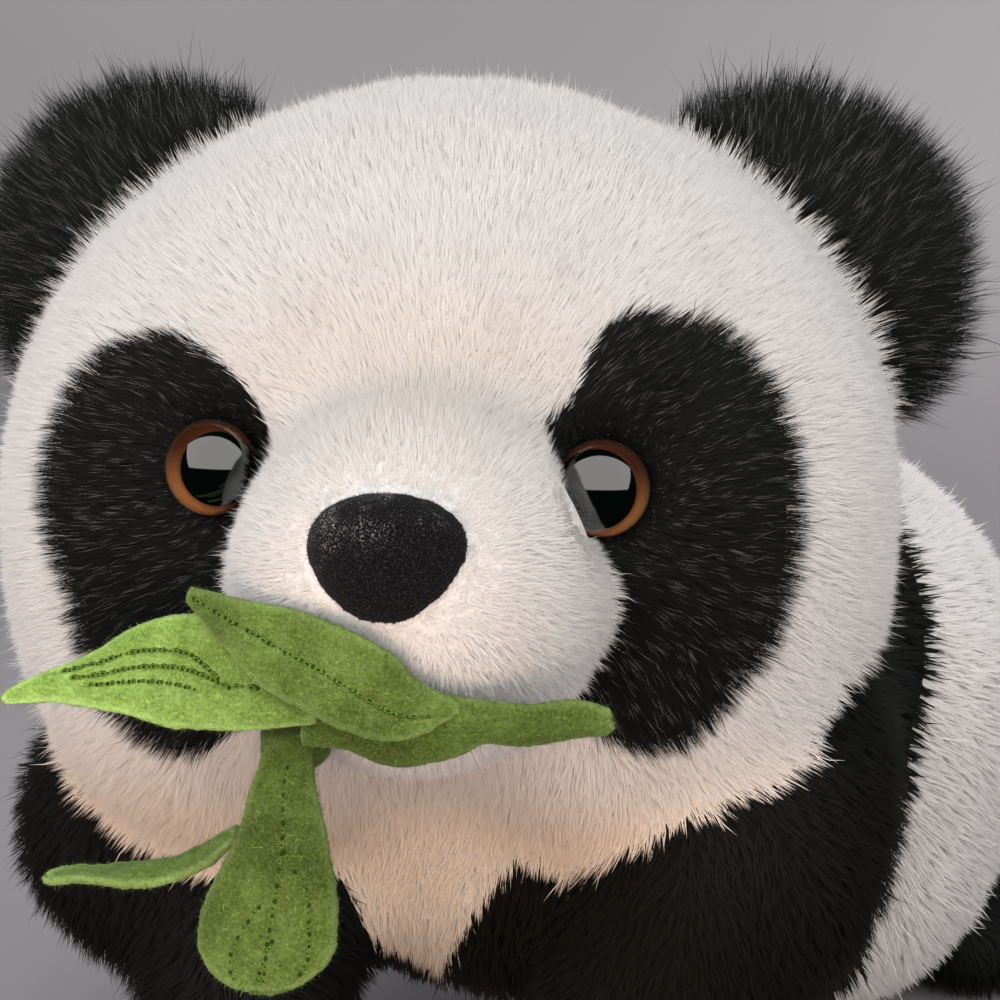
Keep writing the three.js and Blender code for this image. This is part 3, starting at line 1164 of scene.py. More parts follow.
@dataclass
class Strands(Rows):
    """Strands ready to be made: their spines, the side that faces out, and what their finish reads."""

    spine: np.ndarray
    up: np.ndarray
    radius: np.ndarray
    tone: np.ndarray
    # painted warm shade on the pile; on the felt's fuzz, how pale a fibre is
    warmth: np.ndarray

    def mesh(self, unwrap_centre: np.ndarray, roundness: float = 0.45) -> bpy.types.Mesh:
        """Makes each strand a slim spike with a ridge on its outer side.

        Args:
            unwrap_centre: The point from which the skin is unwrapped.
            roundness: How much its sides turn from the skin's own light to a thread's.

        Returns:
            The joined mesh, with its attribute, normals and unwrap.
        """
        count, stations = self.spine.shape[:2]
        rings = stations - 1
        along = unit(self.spine[:, -1] - self.spine[:, 0])
        side = unit(np.cross(along, self.up))
        ridge = np.cross(side, along)
        taper = 1.0 - SPIKE.taper * np.arange(rings) / rings
        half = self.radius[:, None, None] * taper[None, :, None]
        base = self.spine[:, :-1]
        aside, outward = side[:, None] * half, ridge[:, None] * half * SPIKE.ridge
        corners = np.stack([base - aside, base + aside, base + outward], 2)
        points = np.concatenate([corners.reshape(count, rings * 3, 3), self.spine[:, -1:]], 1)
        soft = self.up * SPIKE.skin_light
        turned = side * roundness
        lit = np.stack([soft - turned, soft + turned, soft + SPIKE.ridge_light * roundness * ridge], 1)
        tip = (soft + SPIKE.tip_light * along)[:, None]
        normals = np.concatenate([np.tile(lit, (1, rings, 1)), tip], 1)
        faces = self._faces(rings)
        per = rings * 3 + 1
        indices = (np.arange(count)[:, None, None] * per + faces[None]).reshape(-1, 3)
        mesh = mesh_of(points.reshape(-1, 3), indices)
        share = np.append(np.repeat(np.arange(rings) / rings, 3), 1.0)
        paint(mesh, np.tile(share, count), np.repeat(self.tone, per), np.repeat(self.warmth, per))
        self._unwrap(mesh, unwrap_centre, share, indices)
        mesh.shade_smooth()
        mesh.normals_split_custom_set_from_vertices(unit(normals.reshape(-1, 3)).astype(np.float32))
        return mesh

    @staticmethod
    def _faces(rings: int) -> np.ndarray:
        """The triangles of one spike: a band round each pair of rings, then its tip."""
        faces = []
        for ring in range(rings - 1):
            a, b = 3 * ring, 3 * ring + 3
            for one, other in ((0, 2), (2, 1), (1, 0)):
                faces += [(a + one, a + other, b + other), (a + one, b + other, b + one)]
        last, tip = 3 * (rings - 1), 3 * rings
        faces += [(last + 2, last + 1, tip), (last, last + 2, tip), (last + 1, last, tip)]
        return np.array(faces)

    def _unwrap(
        self, mesh: bpy.types.Mesh, centre: np.ndarray, share: np.ndarray, faces: np.ndarray
    ) -> None:
        """Lays each strand as a small patch at its root's place on the unwrapped skin.

        Args:
            mesh: The mesh that gets the map.
            centre: The point from which the skin is unwrapped on the eight sides of an octahedron.
            share: How far along the strand each of its vertices lies.
            faces: The mesh's faces.
        """
        ray = self.spine[:, 0] - centre
        flat = ray / np.abs(ray).sum(1, keepdims=True)
        turned = np.where(flat[:, :2] >= 0.0, 1.0, -1.0) * (1.0 - np.abs(flat[:, 1::-1]))
        flat = np.where(flat[:, 2:] >= 0.0, flat[:, :2], turned)
        middle = 0.5 + flat * (0.5 - SPIKE.patch)
        sideways = np.append(np.tile([-0.5, 0.5, 0.0], len(share) // 3), 0.0)
        sideways = sideways * (1.0 - SPIKE.patch_taper * share)
        upward = share - 0.5 + SPIKE.ridge_shift * (np.arange(len(share)) % 3 == 2)
        offsets = np.stack([sideways, np.minimum(upward, 0.5)], 1) * SPIKE.patch
        corners = (middle[:, None] + offsets[None]).reshape(-1, 2)[faces.ravel()]
        layer = mesh.uv_layers.new(name=UNWRAP)
        layer.data.foreach_set("uv", corners.astype(np.float32).ravel())


@dataclass(frozen=True)
class CoatPiece:
    """One piece of the coat: its name, its regions, the CAD node that it is unwrapped from, its colour,
    the share of its strands that get painted glints, and how much a strand's sides turn from the light."""

    name: str
    regions: tuple[Region, ...]
    centre: str
    black: bool
    # the share of strands that get painted glints, painted highlights
    glints: float
    roundness: float


COAT_PIECES = (
    CoatPiece("coat_head", (Region.HEAD,), "head", False, 0.1, 0.05),
    CoatPiece("coat_patches", (Region.HEAD,), "head", True, 0.09, 0.4),
    CoatPiece("coat_muzzle", (Region.MUZZLE,), "muzzle", False, 0.1, 0.06),
    CoatPiece("coat_ears", (Region.EARS,), "head", True, 0.12, 0.4),
    CoatPiece("coat_body_white", (Region.TRUNK, Region.TAIL), "trunk", False, 0.1, 0.05),
    CoatPiece("coat_band", (Region.TRUNK, Region.TAIL), "trunk", True, 0.0, 0.15),
    CoatPiece("coat_legs", (Region.FORELEGS, Region.HINDLEGS), "trunk", True, 0.0, 0.15),
)


@dataclass
class PileCoat:
    """The pile: strands in small clumps all over the skin, in pieces of fewer than 200,000 triangles."""

    place: HeadPlace
    skin: SkinShape
    markings: Markings
    clump: int = 4
    clump_radius: float = 0.5625 * MM  # how far a clump's strands stand from its middle
    drawn_in: float = 0.55  # how much of that their tips give up
    splay: float = 0.045
    sunk: float = 0.5 * MM  # how deep roots are in the skin
    most_faces: int = 190_000
    seed: int = 11
    floor_clearance: float = 0.3 * MM
    mark_edge: float = 0.35 * MM  # how ragged the edge of a marking is
    longer_patches: float = 0.35
    thinner_behind: float = 0.66  # the back of the head has fewer and wider strands
    wider_behind: float = 0.7
    back_of_head: Span = (0.0, 30 * MM)
    closer_bib: float = 3.0  # the bib has more, finer and shorter strands
    finer_bib: float = 0.62
    shorter_bib: float = 0.3
    bib_edge: float = -3 * MM
    eye_margin: float = 0.6 * MM
    eye_depth: float = 22 * MM
    eye_parting: Span = (1 * MM, 11 * MM)  # how far from an eye the pile is parted fully, and at all
    shorter_by_eye: float = 0.45
    nose_half: Span = (15.5 * MM, 12.6 * MM)
    nose_front: float = -80 * MM
    nose_bare: float = 0.98  # how far out the nose keeps the pile off, and where the pile is whole again
    nose_parting: float = 1.6
    by_nose: float = 0.55
    leaf_margin: float = 10 * MM
    under_leaf: float = 0.45  # the shortest that pile gets under a leaf, and how near it comes to the felt
    to_leaf: float = 0.95
    swirl: float = math.radians(13.0)  # how far the brushing swirls, over what length, and how far a
    swirl_length: float = 26 * MM  # single clump wanders from it
    wander: float = 0.16
    sway: float = math.radians(6.0)  # the same for how far the pile leans
    sway_length: float = 19 * MM
    nod: float = 0.13
    standing: float = 0.25  # how much of its lean pile keeps where the brushing parts
    uneven: float = 0.05  # how much its length varies
    uneven_length: float = 9 * MM
    lock: float = 0.10  # how far neighbouring clumps draw aside together
    lock_length: float = 5 * MM
    # painted glints come in locks about this far apart
    glint_length: float = 2.4 * MM
    stray_share: float = 0.11
    stray_lengths: Span = (1.15, 1.7)
    stray_bends: Span = (0.05, 0.45)
    stray_width: float = 0.34

    def grow(self) -> None:
        """Grows the coat and adds its pieces to the scene."""
        rng = np.random.default_rng(self.seed)
        roots = self._round_nose(self._round_eyes(self._roots(rng)))
        on_patch = ramp(-1 * MM, 1 * MM, self.markings.dark(roots.points, roots.shares))
        roots.length *= 1.0 + self.longer_patches * on_patch * share_of(Region.HEAD, roots.shares)
        self._under_leaves(roots)
        finishes = {False: WHITE_PILE, True: BLACK_PILE}
        self.materials = {black: finish.build() for black, finish in finishes.items()}
        for suffix, made in (("", self._strands(roots, rng)), ("_strays", self._strays(roots, rng))):
            strands, shares = made
            depth = self.markings.dark(strands.spine[:, 0], shares)
            black = depth + rng.normal(0.0, self.mark_edge, len(depth)) > 0.0
            region = shares.argmax(1)
            for piece in COAT_PIECES:
                chosen = np.isin(region, [REGIONS.index(r) for r in piece.regions]) & (black == piece.black)
                self._pieces(piece, strands.kept(chosen), piece.name + suffix)

    def _roots(self, rng: np.random.Generator) -> Roots:
        """Spreads clumps evenly over the skin, as close as each region's cut asks."""
        skin = self.skin
        own = self.place.inward(skin.points)
        behind = share_of(Region.HEAD, skin.shares) * ramp(*self.back_of_head, own[:, 1])
        bib = share_of(Region.TRUNK, skin.shares) * ramp(self.bib_edge, 0.0, self.markings.bib(skin.points))
        density = skin.cut("density") / MM2 / self.clump
        density = density * (1.0 - self.thinner_behind * behind) * (1.0 + self.closer_bib * bib)
        clumps = Scatter.over(skin, density, rng)
        return Roots(
            clumps.at(skin.points),
            unit(clumps.at(skin.normals)),
            clumps.at(PileFlow(self.place).on(skin)),
            clumps.at(skin.shares),
            clumps.at(skin.cut("length") * (1.0 - self.shorter_bib * bib)),
            np.radians(clumps.at(skin.cut("lean"))),
            clumps.at(skin.cut("width") * (1.0 - self.finer_bib * bib + self.wider_behind * behind)),
            clumps.at(skin.cut("unruly")),
        )

    def _round_eyes(self, roots: Roots) -> Roots:
        """Parts the pile round the eyes and keeps it off them."""
        keep = np.ones(len(roots.points), bool)
        for eye in EYES:
            away = roots.points - np.array(eye.middle_in_frame(self.place))
            axis = eye.axis_in_frame(self.place)
            radial = away - axis * column(away @ axis)
            distance = np.linalg.norm(radial, axis=1)
            near = np.abs(away @ axis) < self.eye_depth
            keep &= ~(near & (distance < eye.radius + self.eye_margin))
            pull = column(near * (1.0 - ramp(*self.eye_parting, distance - eye.radius)))
            roots.flow = roots.flow * (1.0 - pull) + unit(flattened(radial, roots.normals)) * pull
            roots.length *= 1.0 - self.shorter_by_eye * pull[:, 0]
        return roots.kept(keep)

    def _round_nose(self, roots: Roots) -> Roots:
        """Keeps the pile off the nose and shortens it round it."""
        own = self.place.inward(roots.points)
        middle = self.place.inward(middle_of("nose"))
        away = Blot(middle[0], middle[2], *self.nose_half).reach(own)
        near = own[:, 1] < self.nose_front
        parted = self.by_nose + (1.0 - self.by_nose) * ramp(1.0, self.nose_parting, away)
        roots.length *= np.where(near, parted, 1.0)
        return roots.kept(~(near & (away < self.nose_bare)))

    def _under_leaves(self, roots: Roots) -> None:
        """Flattens the pile where a leaf lies on it."""
        spots = [v.co for name in LEAF_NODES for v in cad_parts[name].data.vertices]
        spots += [f.center for name in LEAF_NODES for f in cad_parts[name].data.polygons]
        tree = tree_of(spots)
        low = np.min([np.array(s) for s in spots], axis=0) - self.leaf_margin
        high = np.max([np.array(s) for s in spots], axis=0) + self.leaf_margin
        for k in np.flatnonzero(((roots.points > low) & (roots.points < high)).all(1)):
            room = self.to_leaf * tree.find(roots.points[k])[2]
            roots.length[k] = min(roots.length[k], max(self.under_leaf * roots.length[k], room))

    def _laid(self, roots: Roots, rng: np.random.Generator) -> tuple[np.ndarray, np.ndarray]:
        """Lays each clump along its brushed direction, with small differences.

        Args:
            roots: The clumps.
            rng: The source of small differences.

        Returns:
            The direction and the length of each clump.
        """
        count = len(roots.points)
        points, unruly = roots.points, roots.unruly
        swirl = self.swirl * ripple(points, self.swirl_length, 3)
        swirl = swirl + rng.normal(0.0, self.wander, count) * unruly
        flow = unit(roots.flow)
        across = np.cross(roots.normals, flow)
        flow = flow * column(np.cos(swirl)) + across * column(np.sin(swirl))
        lean = roots.lean + self.sway * ripple(points, self.sway_length, 5)
        lean = lean + rng.normal(0.0, self.nod, count) * unruly
        lean = lean * np.clip(2.0 * np.linalg.norm(roots.flow, axis=1), self.standing, 1.0)
        length = roots.length * (1.0 + self.uneven * ripple(points, self.uneven_length, 8))
        length = length * rng.uniform(0.88, 1.1, count)
        direction = roots.normals * column(np.cos(lean)) + flow * column(np.sin(lean))
        lock = unit(np.cross(direction, roots.normals)) * column(ripple(points, self.lock_length, 9))
        return unit(direction + self.lock * lock * column(unruly)), length

    def _strands(self, roots: Roots, rng: np.random.Generator) -> tuple[Strands, np.ndarray]:
        """Splits each clump into strands whose tips draw together.

        Args:
            roots: The clumps.
            rng: The source of small differences.

        Returns:
            The strands and their shares of the regions.
        """
        direction, length = self._laid(roots, rng)
        each = np.repeat(np.arange(len(roots.points)), self.clump)
        normals, direction, length = roots.normals[each], direction[each], length[each]
        offset = flattened(rng.normal(0.0, 1.0, (len(each), 3)), normals) * self.clump_radius
        root = roots.points[each] + offset
        length = length * rng.uniform(0.84, 1.08, len(each))
        splay = rng.normal(0.0, self.splay, (len(each), 3))
        tip = root + (direction + splay) * column(length) - offset * self.drawn_in
        root = root - direction * self.sunk
        radius = roots.width[each] * 0.5 * rng.uniform(0.75, 1.2, len(each))
        return self._ready(np.stack([root, tip], 1), normals, radius, roots.shares[each], rng)

    def _strays(self, roots: Roots, rng: np.random.Generator) -> tuple[Strands, np.ndarray]:
        """Longer bent strands that stand out of the pile here and there.

        Args:
            roots: The clumps.
            rng: The source of small differences.

        Returns:
            The strands and their shares of the regions.
        """
        direction, length = self._laid(roots, rng)
        chosen = np.flatnonzero(rng.random(len(length)) < self.stray_share * roots.unruly)
        roots = roots.kept(chosen)
        length = length[chosen] * rng.uniform(*self.stray_lengths, len(chosen))
        direction = direction[chosen]
        direction = unit(direction + rng.normal(0.0, self.wander, direction.shape))
        bend = unit(flattened(rng.normal(size=direction.shape), direction))
        sweep = bend * column(rng.uniform(*self.stray_bends, len(chosen)))
        root = roots.points - direction * self.sunk
        middle = roots.points + direction * column(length * 0.6)
        tip = middle + unit(direction + sweep) * column(length * 0.42)
        radius = roots.width * self.stray_width * rng.uniform(0.8, 1.2, len(chosen))
        return self._ready(np.stack([root, middle, tip], 1), roots.normals, radius, roots.shares, rng)

    def _ready(
        self,
        spine: np.ndarray,
        normals: np.ndarray,
        radius: np.ndarray,
        shares: np.ndarray,
        rng: np.random.Generator,
    ) -> tuple[Strands, np.ndarray]:
        """Keeps tips above the floor and gives strands their tone and their painted warm shade.

        Args:
            spine: The points along each strand.
            normals: The skin's normals at their roots.
            radius: Half their widths.
            shares: Their shares of the regions.
            rng: The source of their tones.

        Returns:
            The strands and their shares.
        """
        spine[:, 1:, 2] = np.maximum(spine[:, 1:, 2], self.floor_clearance)
        warmth = self.markings.warmth(spine[:, 0], shares)
        return Strands(spine, normals, radius, rng.random(len(spine)), warmth), shares

    def _pieces(self, piece: CoatPiece, strands: Strands, name: str) -> None:
        """Cuts a piece into sectors of fewer than the most faces, and adds each to the scene.

        Args:
            piece: The piece.
            strands: Its strands.
            name: The name that its sectors take.
        """
        centre = middle_of(piece.centre)
        ray = self.place.inward(strands.spine[:, 0]) - self.place.inward(centre)
        order = np.argsort(np.arctan2(ray[:, 0], ray[:, 2]), kind="stable")
        # Painted glints: a share of strands, chosen in locks, gets the top tone that paints a highlight;
        # black ones are thinner.
        lock = 0.5 + 0.5 * ripple(strands.spine[:, 0], self.glint_length, 31)
        mixed = strands.tone * 0.6 + lock * 0.4
        painted_glint_mask = mixed < np.quantile(mixed, piece.glints)
        strands.tone = np.where(painted_glint_mask, 1.0, 0.85 * strands.tone)
        strands.radius = np.where(painted_glint_mask & piece.black, 0.7, 1.0) * strands.radius
        per_strand = 6 * (strands.spine.shape[1] - 2) + 3
        sectors = max(1, math.ceil(len(order) * per_strand / self.most_faces))
        for k, chosen in enumerate(np.array_split(order, sectors)):
            own_name = name if sectors == 1 else f"{name}_{k + 1}"
            mesh = strands.kept(chosen).mesh(centre, piece.roundness)
            placed(own_name, mesh, self.materials[piece.black])


# Eyes and nose ---------------------------------------------------------------------------------------


@dataclass(frozen=True)
class DomeEye:
    """A glossy dome on a shank, sewn into the head: where it is, and how far it turns outward."""

    side: str
    middle: Spot
    turn: float
    radius: float = 10 * MM
    dome: float = 7 * MM
    brim: float = 2 * MM
    shank: float = 9 * MM
    slant: float = math.radians(12.0)
    pupil: float = 8.1 * MM
    pupil_shift: float = 1.15 * MM
    dome_steps: int = 14
    round_steps: int = 72

    def middle_in_frame(self, place: HeadPlace) -> Spot:
        """The middle of its base in the frame's axes."""
        return tuple(float(v) for v in place.out(np.array(self.middle)))

    def axis_in_frame(self, place: HeadPlace) -> np.ndarray:
        """The way it looks, in the frame's axes."""
        return place.spin(np.array([math.sin(self.turn), -math.cos(self.turn), 0.0]), place.turn)

    def build(self, place: HeadPlace) -> bpy.types.Object:
        """Spins the dome, brim and shank from one profile and dresses them."""
        shape = bmesh.new()
        radius, brim, back = self.radius, self.brim, self.brim + self.shank
        profile = [(0.0, back), (radius / 2, back), (radius / 2, brim)]
        profile += [(radius * 0.97, brim), (radius, brim * 0.7)]
        angles = [math.pi / 2 * k / self.dome_steps for k in range(self.dome_steps + 1)]
        profile += [(radius * math.cos(a), -self.dome * math.sin(a)) for a in angles]
        corners = [shape.verts.new((x, y, 0.0)) for x, y in profile]
        edges = [shape.edges.new(pair) for pair in zip(corners, corners[1:])]
        spin_round(shape, corners + edges, (0.0, 1.0, 0.0), self.round_steps)
        bmesh.ops.remove_doubles(shape, verts=shape.verts, dist=0.01 * MM)
        turn = Matrix.Rotation(self.turn, 4, "Z")
        shape.transform(place.matrix @ Matrix.Translation(self.middle) @ turn)
        mesh = from_bmesh(shape)
        mesh.shade_smooth()
        nose_side = 1.0 if self.side == "right" else -1.0
        finish = EyeFinish(
            self.side,
            self.middle_in_frame(place),
            place.turn + self.turn,
            self.radius,
            self.pupil,
            self.pupil_shift * nose_side,
            self.slant * nose_side,
        )
        piece = placed(f"eye_dome_{self.side}", mesh, finish.build())
        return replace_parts(piece, f"eye_{self.side}")


EYES = (
    DomeEye(
        "right",
        (-43.7 * MM, -66.5 * MM, 1.3 * MM),
        math.radians(-14.0),
        slant=math.radians(29.0),
        pupil=7.6 * MM,
        pupil_shift=1.5 * MM,
    ),
    DomeEye("left", (36.5 * MM, -66.5 * MM, -0.5 * MM), math.radians(14.0)),
)


@dataclass
class FlockedNose:
    """The moulded nose, smoothed from its CAD solid, with a coat of very short flock."""

    voxel: float = 0.7 * MM
    rounding: int = 12
    fibre: float = 0.55 * MM
    fibre_radius: float = 0.07 * MM
    per_mm2: float = 7.0
    seed: int = 23

    def build(self) -> None:
        """Adds the nose and its flock."""
        base = remeshed(from_bmesh(merged_nodes(["nose"])), self.voxel)
        skin = SkinShape.of(base)
        move_to(base, skin.relaxed(skin.points, self.rounding))
        base.shade_smooth()
        finish = FlockFinish().build()
        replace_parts(placed("nose_pad", base, finish), "nose")
        placed("nose_flock", self._flock(SkinShape.of(base)), finish)

    def _flock(self, skin: SkinShape) -> bpy.types.Mesh:
        """Short fibres that stand up all over the nose."""
        rng = np.random.default_rng(self.seed)
        points, normals = scattered(skin, self.per_mm2, rng)
        direction = unit(normals + rng.normal(0.0, 0.45, points.shape))
        tip = points + direction * column(self.fibre * rng.uniform(0.6, 1.1, len(points)))
        spine = np.stack([points - direction * 0.2 * MM, tip], 1)
        radius = np.full(len(points), self.fibre_radius)
        strands = Strands(spine, normals, radius, rng.random(len(points)), np.zeros(len(points)))
        return strands.mesh(skin.points.mean(0))


def scattered(skin: SkinShape, per_mm2: float, rng: np.random.Generator) -> tuple[np.ndarray, np.ndarray]:
    """Points spread evenly over a surface.

    Args:
        skin: The surface.
        per_mm2: How many to a square millimetre.
        rng: The source of their places.

    Returns:
        The points and the surface's normals there.
    """
    spots = Scatter.over(skin, np.full(len(skin.points), per_mm2 / MM2), rng)
    return spots.at(skin.points), unit(spots.at(skin.normals))


# The felt sprig --------------------------------------------------------------------------------------

LEAF_NODES = ("leaf_upper", "leaf_long", "leaf_curled", "leaf_hanging", "leaf_side")


class Stitch(Enum):
    """How a row is sewn: looped chain stitches on the face, or short ones pulled tight into the felt.

    Each has its pitch and the length and breadth of its loop.
    """

    CHAIN = (2.4 * MM, 2.1 * MM, 1.05 * MM)
    PULLED = (2.6 * MM, 1.25 * MM, 0.85 * MM)

    @property
    def pitch(self) -> float:
        """How far apart its stitches are."""
        return self.value[0]

    @property
    def length(self) -> float:
        """How long its loop is."""
        return self.value[1]

    @property
    def breadth(self) -> float:
        """How wide its loop is."""
        return self.value[2]


@dataclass(frozen=True)
class Row:
    """A row of stitches on a leaf, from one share of its length to another, off its middle line."""

    start: float
    end: float
    off_start: float
    off_end: float
    kind: Stitch = Stitch.CHAIN


def tree_of(points: np.ndarray) -> KDTree:
    """Points in a tree, to find the nearest of."""
    tree = KDTree(len(points))
    for k, spot in enumerate(points):
        tree.insert(spot, k)
    tree.balance()
    return tree


def curve_point(knots: np.ndarray, t: np.ndarray) -> np.ndarray:
    """Points on a smooth curve through evenly spaced knots.

    Args:
        knots: The knots, one row each.
        t: Shares of the way along, from 0 to 1.

    Returns:
        One point for each share.
    """
    knots = np.asarray(knots, float)
    first, last = 2 * knots[0] - knots[1], 2 * knots[-1] - knots[-2]
    padded_knots = np.vstack([first, knots, last])
    place = np.clip(t, 0.0, 1.0) * (len(knots) - 1)
    span = np.minimum(place.astype(int), len(knots) - 2)
    u = (place - span)[:, None]
    p0, p1, p2, p3 = (padded_knots[span + k] for k in range(4))
    ends = 2 * p1 + (p2 - p0) * u
    return 0.5 * (ends + (2 * p0 - 5 * p1 + 4 * p2 - p3) * u**2 + (3 * p1 - p0 - 3 * p2 + p3) * u**3)


@dataclass(frozen=True)
class FeltLeaf:
    """A felt leaf: the curve of its middle, the way across it, its half widths and its rows of stitches.

    Points and widths are in millimetres from the middle of the head, spread evenly from root to tip.
    """

    node: str
    points: tuple[Spot, ...]
    sides: tuple[Spot, ...]
    widths: tuple[float, ...]
    rows: tuple[Row, ...] = ()
    cup: float = 0.0
    wave: float = 0.25
    facing: float = 1.0  # -1 where the leaf's stitched face lies the other way round
    thickness: float = 1.7 * MM
    groove: float = 0.45 * MM
    proud: float = 0.1 * MM  # how far the stitches stand out of the groove
    rounded: float = 2.5 * MM  # how long its rounded tip is
    tones: Span = (0.5, 0.5)  # the painted light and shade of the felt at its root and its tip
    seed: int = 1
    steps: tuple[int, int] = (96, 28)
    ragged: float = 0.008  # how uneven its cut edge is, to its half width
    lumps: tuple[Span, Span] = ((0.12 * MM, 4 * MM), (0.07 * MM, 1.6 * MM))  # their heights and lengths
    cut_edge: Span = (0.6 * MM, 2.0 * MM)  # how far in from its rim the felt is paler
    edge_round: float = 0.9 * MM
    edge_thickness: float = 0.45
    fuzz_per_mm2: float = 4.6
    fuzz_radius: float = 0.045 * MM

    def surface(self, t: np.ndarray, off: np.ndarray) -> tuple[np.ndarray, np.ndarray]:
        """Points of the leaf's middle sheet.

        Args:
            t: Shares of the way from root to tip.
            off: Shares of the half width, from -1 to 1.

        Returns:
            The points and the direction out of its face.
        """
        step = 1e-3
        knots = np.array(self.points) * MM
        middle = curve_point(knots, t)
        along = unit(curve_point(knots, t + step) - curve_point(knots, t - step))
        side = unit(flattened(unit(curve_point(unit(np.array(self.sides)), t)), along))
        face = np.cross(along, side) * self.facing
        left = np.clip((1.0 - t) * self.length() / self.rounded, 0.0, 1.0)
        width = curve_point(np.array(self.widths)[:, None] * MM, t)[:, 0]
        width = width * np.sqrt(np.maximum(left * (2.0 - left), 0.03))
        rolls = np.sin(7.0 * t + 3.0 * off + self.seed) + 0.5 * np.sin(17.0 * t - 2 * off)
        lift = self.wave * MM * rolls - self.cup * width * off**2 - self._sewn_in(t, off, width)
        return middle + side * column(width * off) + face * column(lift), face

    def _sewn_in(self, t: np.ndarray, off: np.ndarray, width: np.ndarray) -> np.ndarray:
        """How deep the rows of stitches pull the felt in.

        Args:
            t: Shares of the way from root to tip.
            off: Shares of the half width.
            width: The half widths there.

        Returns:
            The depths.
        """
        deepest = np.zeros_like(width)
        for row in self.rows:
            share = np.clip((t - row.start) / (row.end - row.start), 0.0, 1.0)
            line = row.off_start + (row.off_end - row.off_start) * share
            along = (t - row.start - (row.end - row.start) * share) * self.length()
            away = np.hypot((off - line) * width, along)
            deepest = np.maximum(deepest, self.groove * np.exp(-((away / (1.1 * MM)) ** 2)))
        return deepest

    def tone(self, points: np.ndarray) -> np.ndarray:
        """How much light and shade is painted on the felt at points measured from the middle of the head.
        """
        root, tip = np.array(self.points[0]) * MM, np.array(self.points[-1]) * MM
        share = (points - root) @ (tip - root) / np.dot(tip - root, tip - root)
        return np.interp(share, (0.0, 1.0), self.tones)

    def length(self) -> float:
        """The length of its middle line."""
        line = curve_point(np.array(self.points) * MM, np.linspace(0.0, 1.0, 200))
        return float(np.linalg.norm(np.diff(line, axis=0), axis=1).sum())

    def flat_area(self) -> float:
        """The area of the flat cut."""
        widths = curve_point(np.array(self.widths)[:, None] * MM, np.linspace(0.0, 1.0, 200))[:, 0]
        return float(2.0 * widths.mean() * self.length())

    def build(self, place: HeadPlace, finish: bpy.types.Material, sewing: list[bpy.types.Material]) -> None:
        """Adds the leaf, its loose fibres and its stitches.

        Args:
            place: Where the head is.
            finish: The felt.
            sewing: The thread and the painted stitch shadows.
        """
        mesh = self._sheet(place)
        skin = SkinShape.of(mesh)
        leaf = placed(f"{self.node}_felt", mesh, finish)
        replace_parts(leaf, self.node)
        extras = [placed(f"{self.node}_fuzz", self._fuzz(skin, place), finish)]
        if self.rows:
            # each row gets its thread and its painted shadows
            makers = {"stitches": self._stitch, "holes": self._hole}
            for (name, maker), material in zip(makers.items(), sewing):
                sewn = self._sewn(place, maker)
                extras.append(placed(f"{self.node}_{name}", sewn, material))
        width = 2.0 * max(self.widths) * MM
        area = min(self.flat_area(), width * self.length())
        flat = (width, self.length())
        LOG.info("%s: cut flat to %.1f x %.1f mm", self.node, 1000 * flat[0], 1000 * flat[1])

    def _sheet(self, place: HeadPlace) -> bpy.types.Mesh:
        """A fine grid bent to the leaf, given its thickness, with an uneven face and a soft cut edge."""
        shape = bmesh.new()
        bmesh.ops.create_grid(shape, x_segments=self.steps[0], y_segments=self.steps[1], size=1.0)
        shape.verts.ensure_lookup_table()
        flat = np.array([v.co for v in shape.verts])
        rim = np.array([v.is_boundary for v in shape.verts])
        rng = np.random.default_rng(100 + self.seed)
        off = flat[:, 1] * (1.0 + rim * rng.normal(0.0, self.ragged, len(flat)))
        points, face = self.surface(flat[:, 0] / 2 + 0.5, off)
        (rise, length), (fine_rise, fine_length) = self.lumps
        uneven = rise * ripple(points, length, 40 + self.seed)
        uneven += fine_rise * ripple(points, fine_length, 50 + self.seed)
        spots = points + face * column(uneven - self.facing * self.thickness / 2)
        for vertex, spot in zip(shape.verts, spots):
            vertex.co = spot
        shape.normal_update()
        both_sides = 2 * len(shape.faces)
        bmesh.ops.solidify(shape, geom=shape.faces[:], thickness=-self.thickness)
        self._sort_edge(shape, both_sides)
        self._round_edge(shape, points, points[rim])
        shape.transform(place.matrix)
        mesh = from_bmesh(shape)
        mesh.shade_smooth()
        own = place.inward(coordinates(mesh))
        tree = tree_of(points[rim])
        from_rim = np.array([tree.find(spot)[2] for spot in own])
        edge = 1.0 - ramp(*self.cut_edge, from_rim)
        # painted light and shade along the leaf, with a little tone that differs at random
        tone = self.tone(own) + 0.06 * ripple(own, 20 * MM, 60 + self.seed)
        paint(mesh, np.zeros_like(edge), tone, edge)
        return mesh

    @staticmethod
    def _sort_edge(shape: bmesh.types.BMesh, first: int) -> None:
        """Puts the faces of the cut edge, which come from the first on, in the same order each time."""
        shape.faces.index_update()
        edge = [face for face in shape.faces if face.index >= first]
        edge.sort(key=lambda face: tuple(face.calc_center_median()))
        for rank, face in enumerate(edge, first):
            face.index = rank
        shape.faces.sort()

    def _round_edge(self, shape: bmesh.types.BMesh, middle: np.ndarray, rim: np.ndarray) -> None:
        """Thins the sheet toward its rim, so that the cut edge is rounded.

        Args:
            shape: The sheet with its thickness.
            middle: Points of its middle sheet.
            rim: Points of the rim of its middle sheet.
        """
        sheet, edge = tree_of(middle), tree_of(rim)
        for vertex in shape.verts:
            spot = sheet.find(vertex.co)[0]
            inside = min(edge.find(spot)[2] / self.edge_round, 1.0)
            rounded = math.sqrt(inside * (2.0 - inside))
            share = self.edge_thickness + (1.0 - self.edge_thickness) * rounded
            vertex.co = spot + (vertex.co - spot) * share

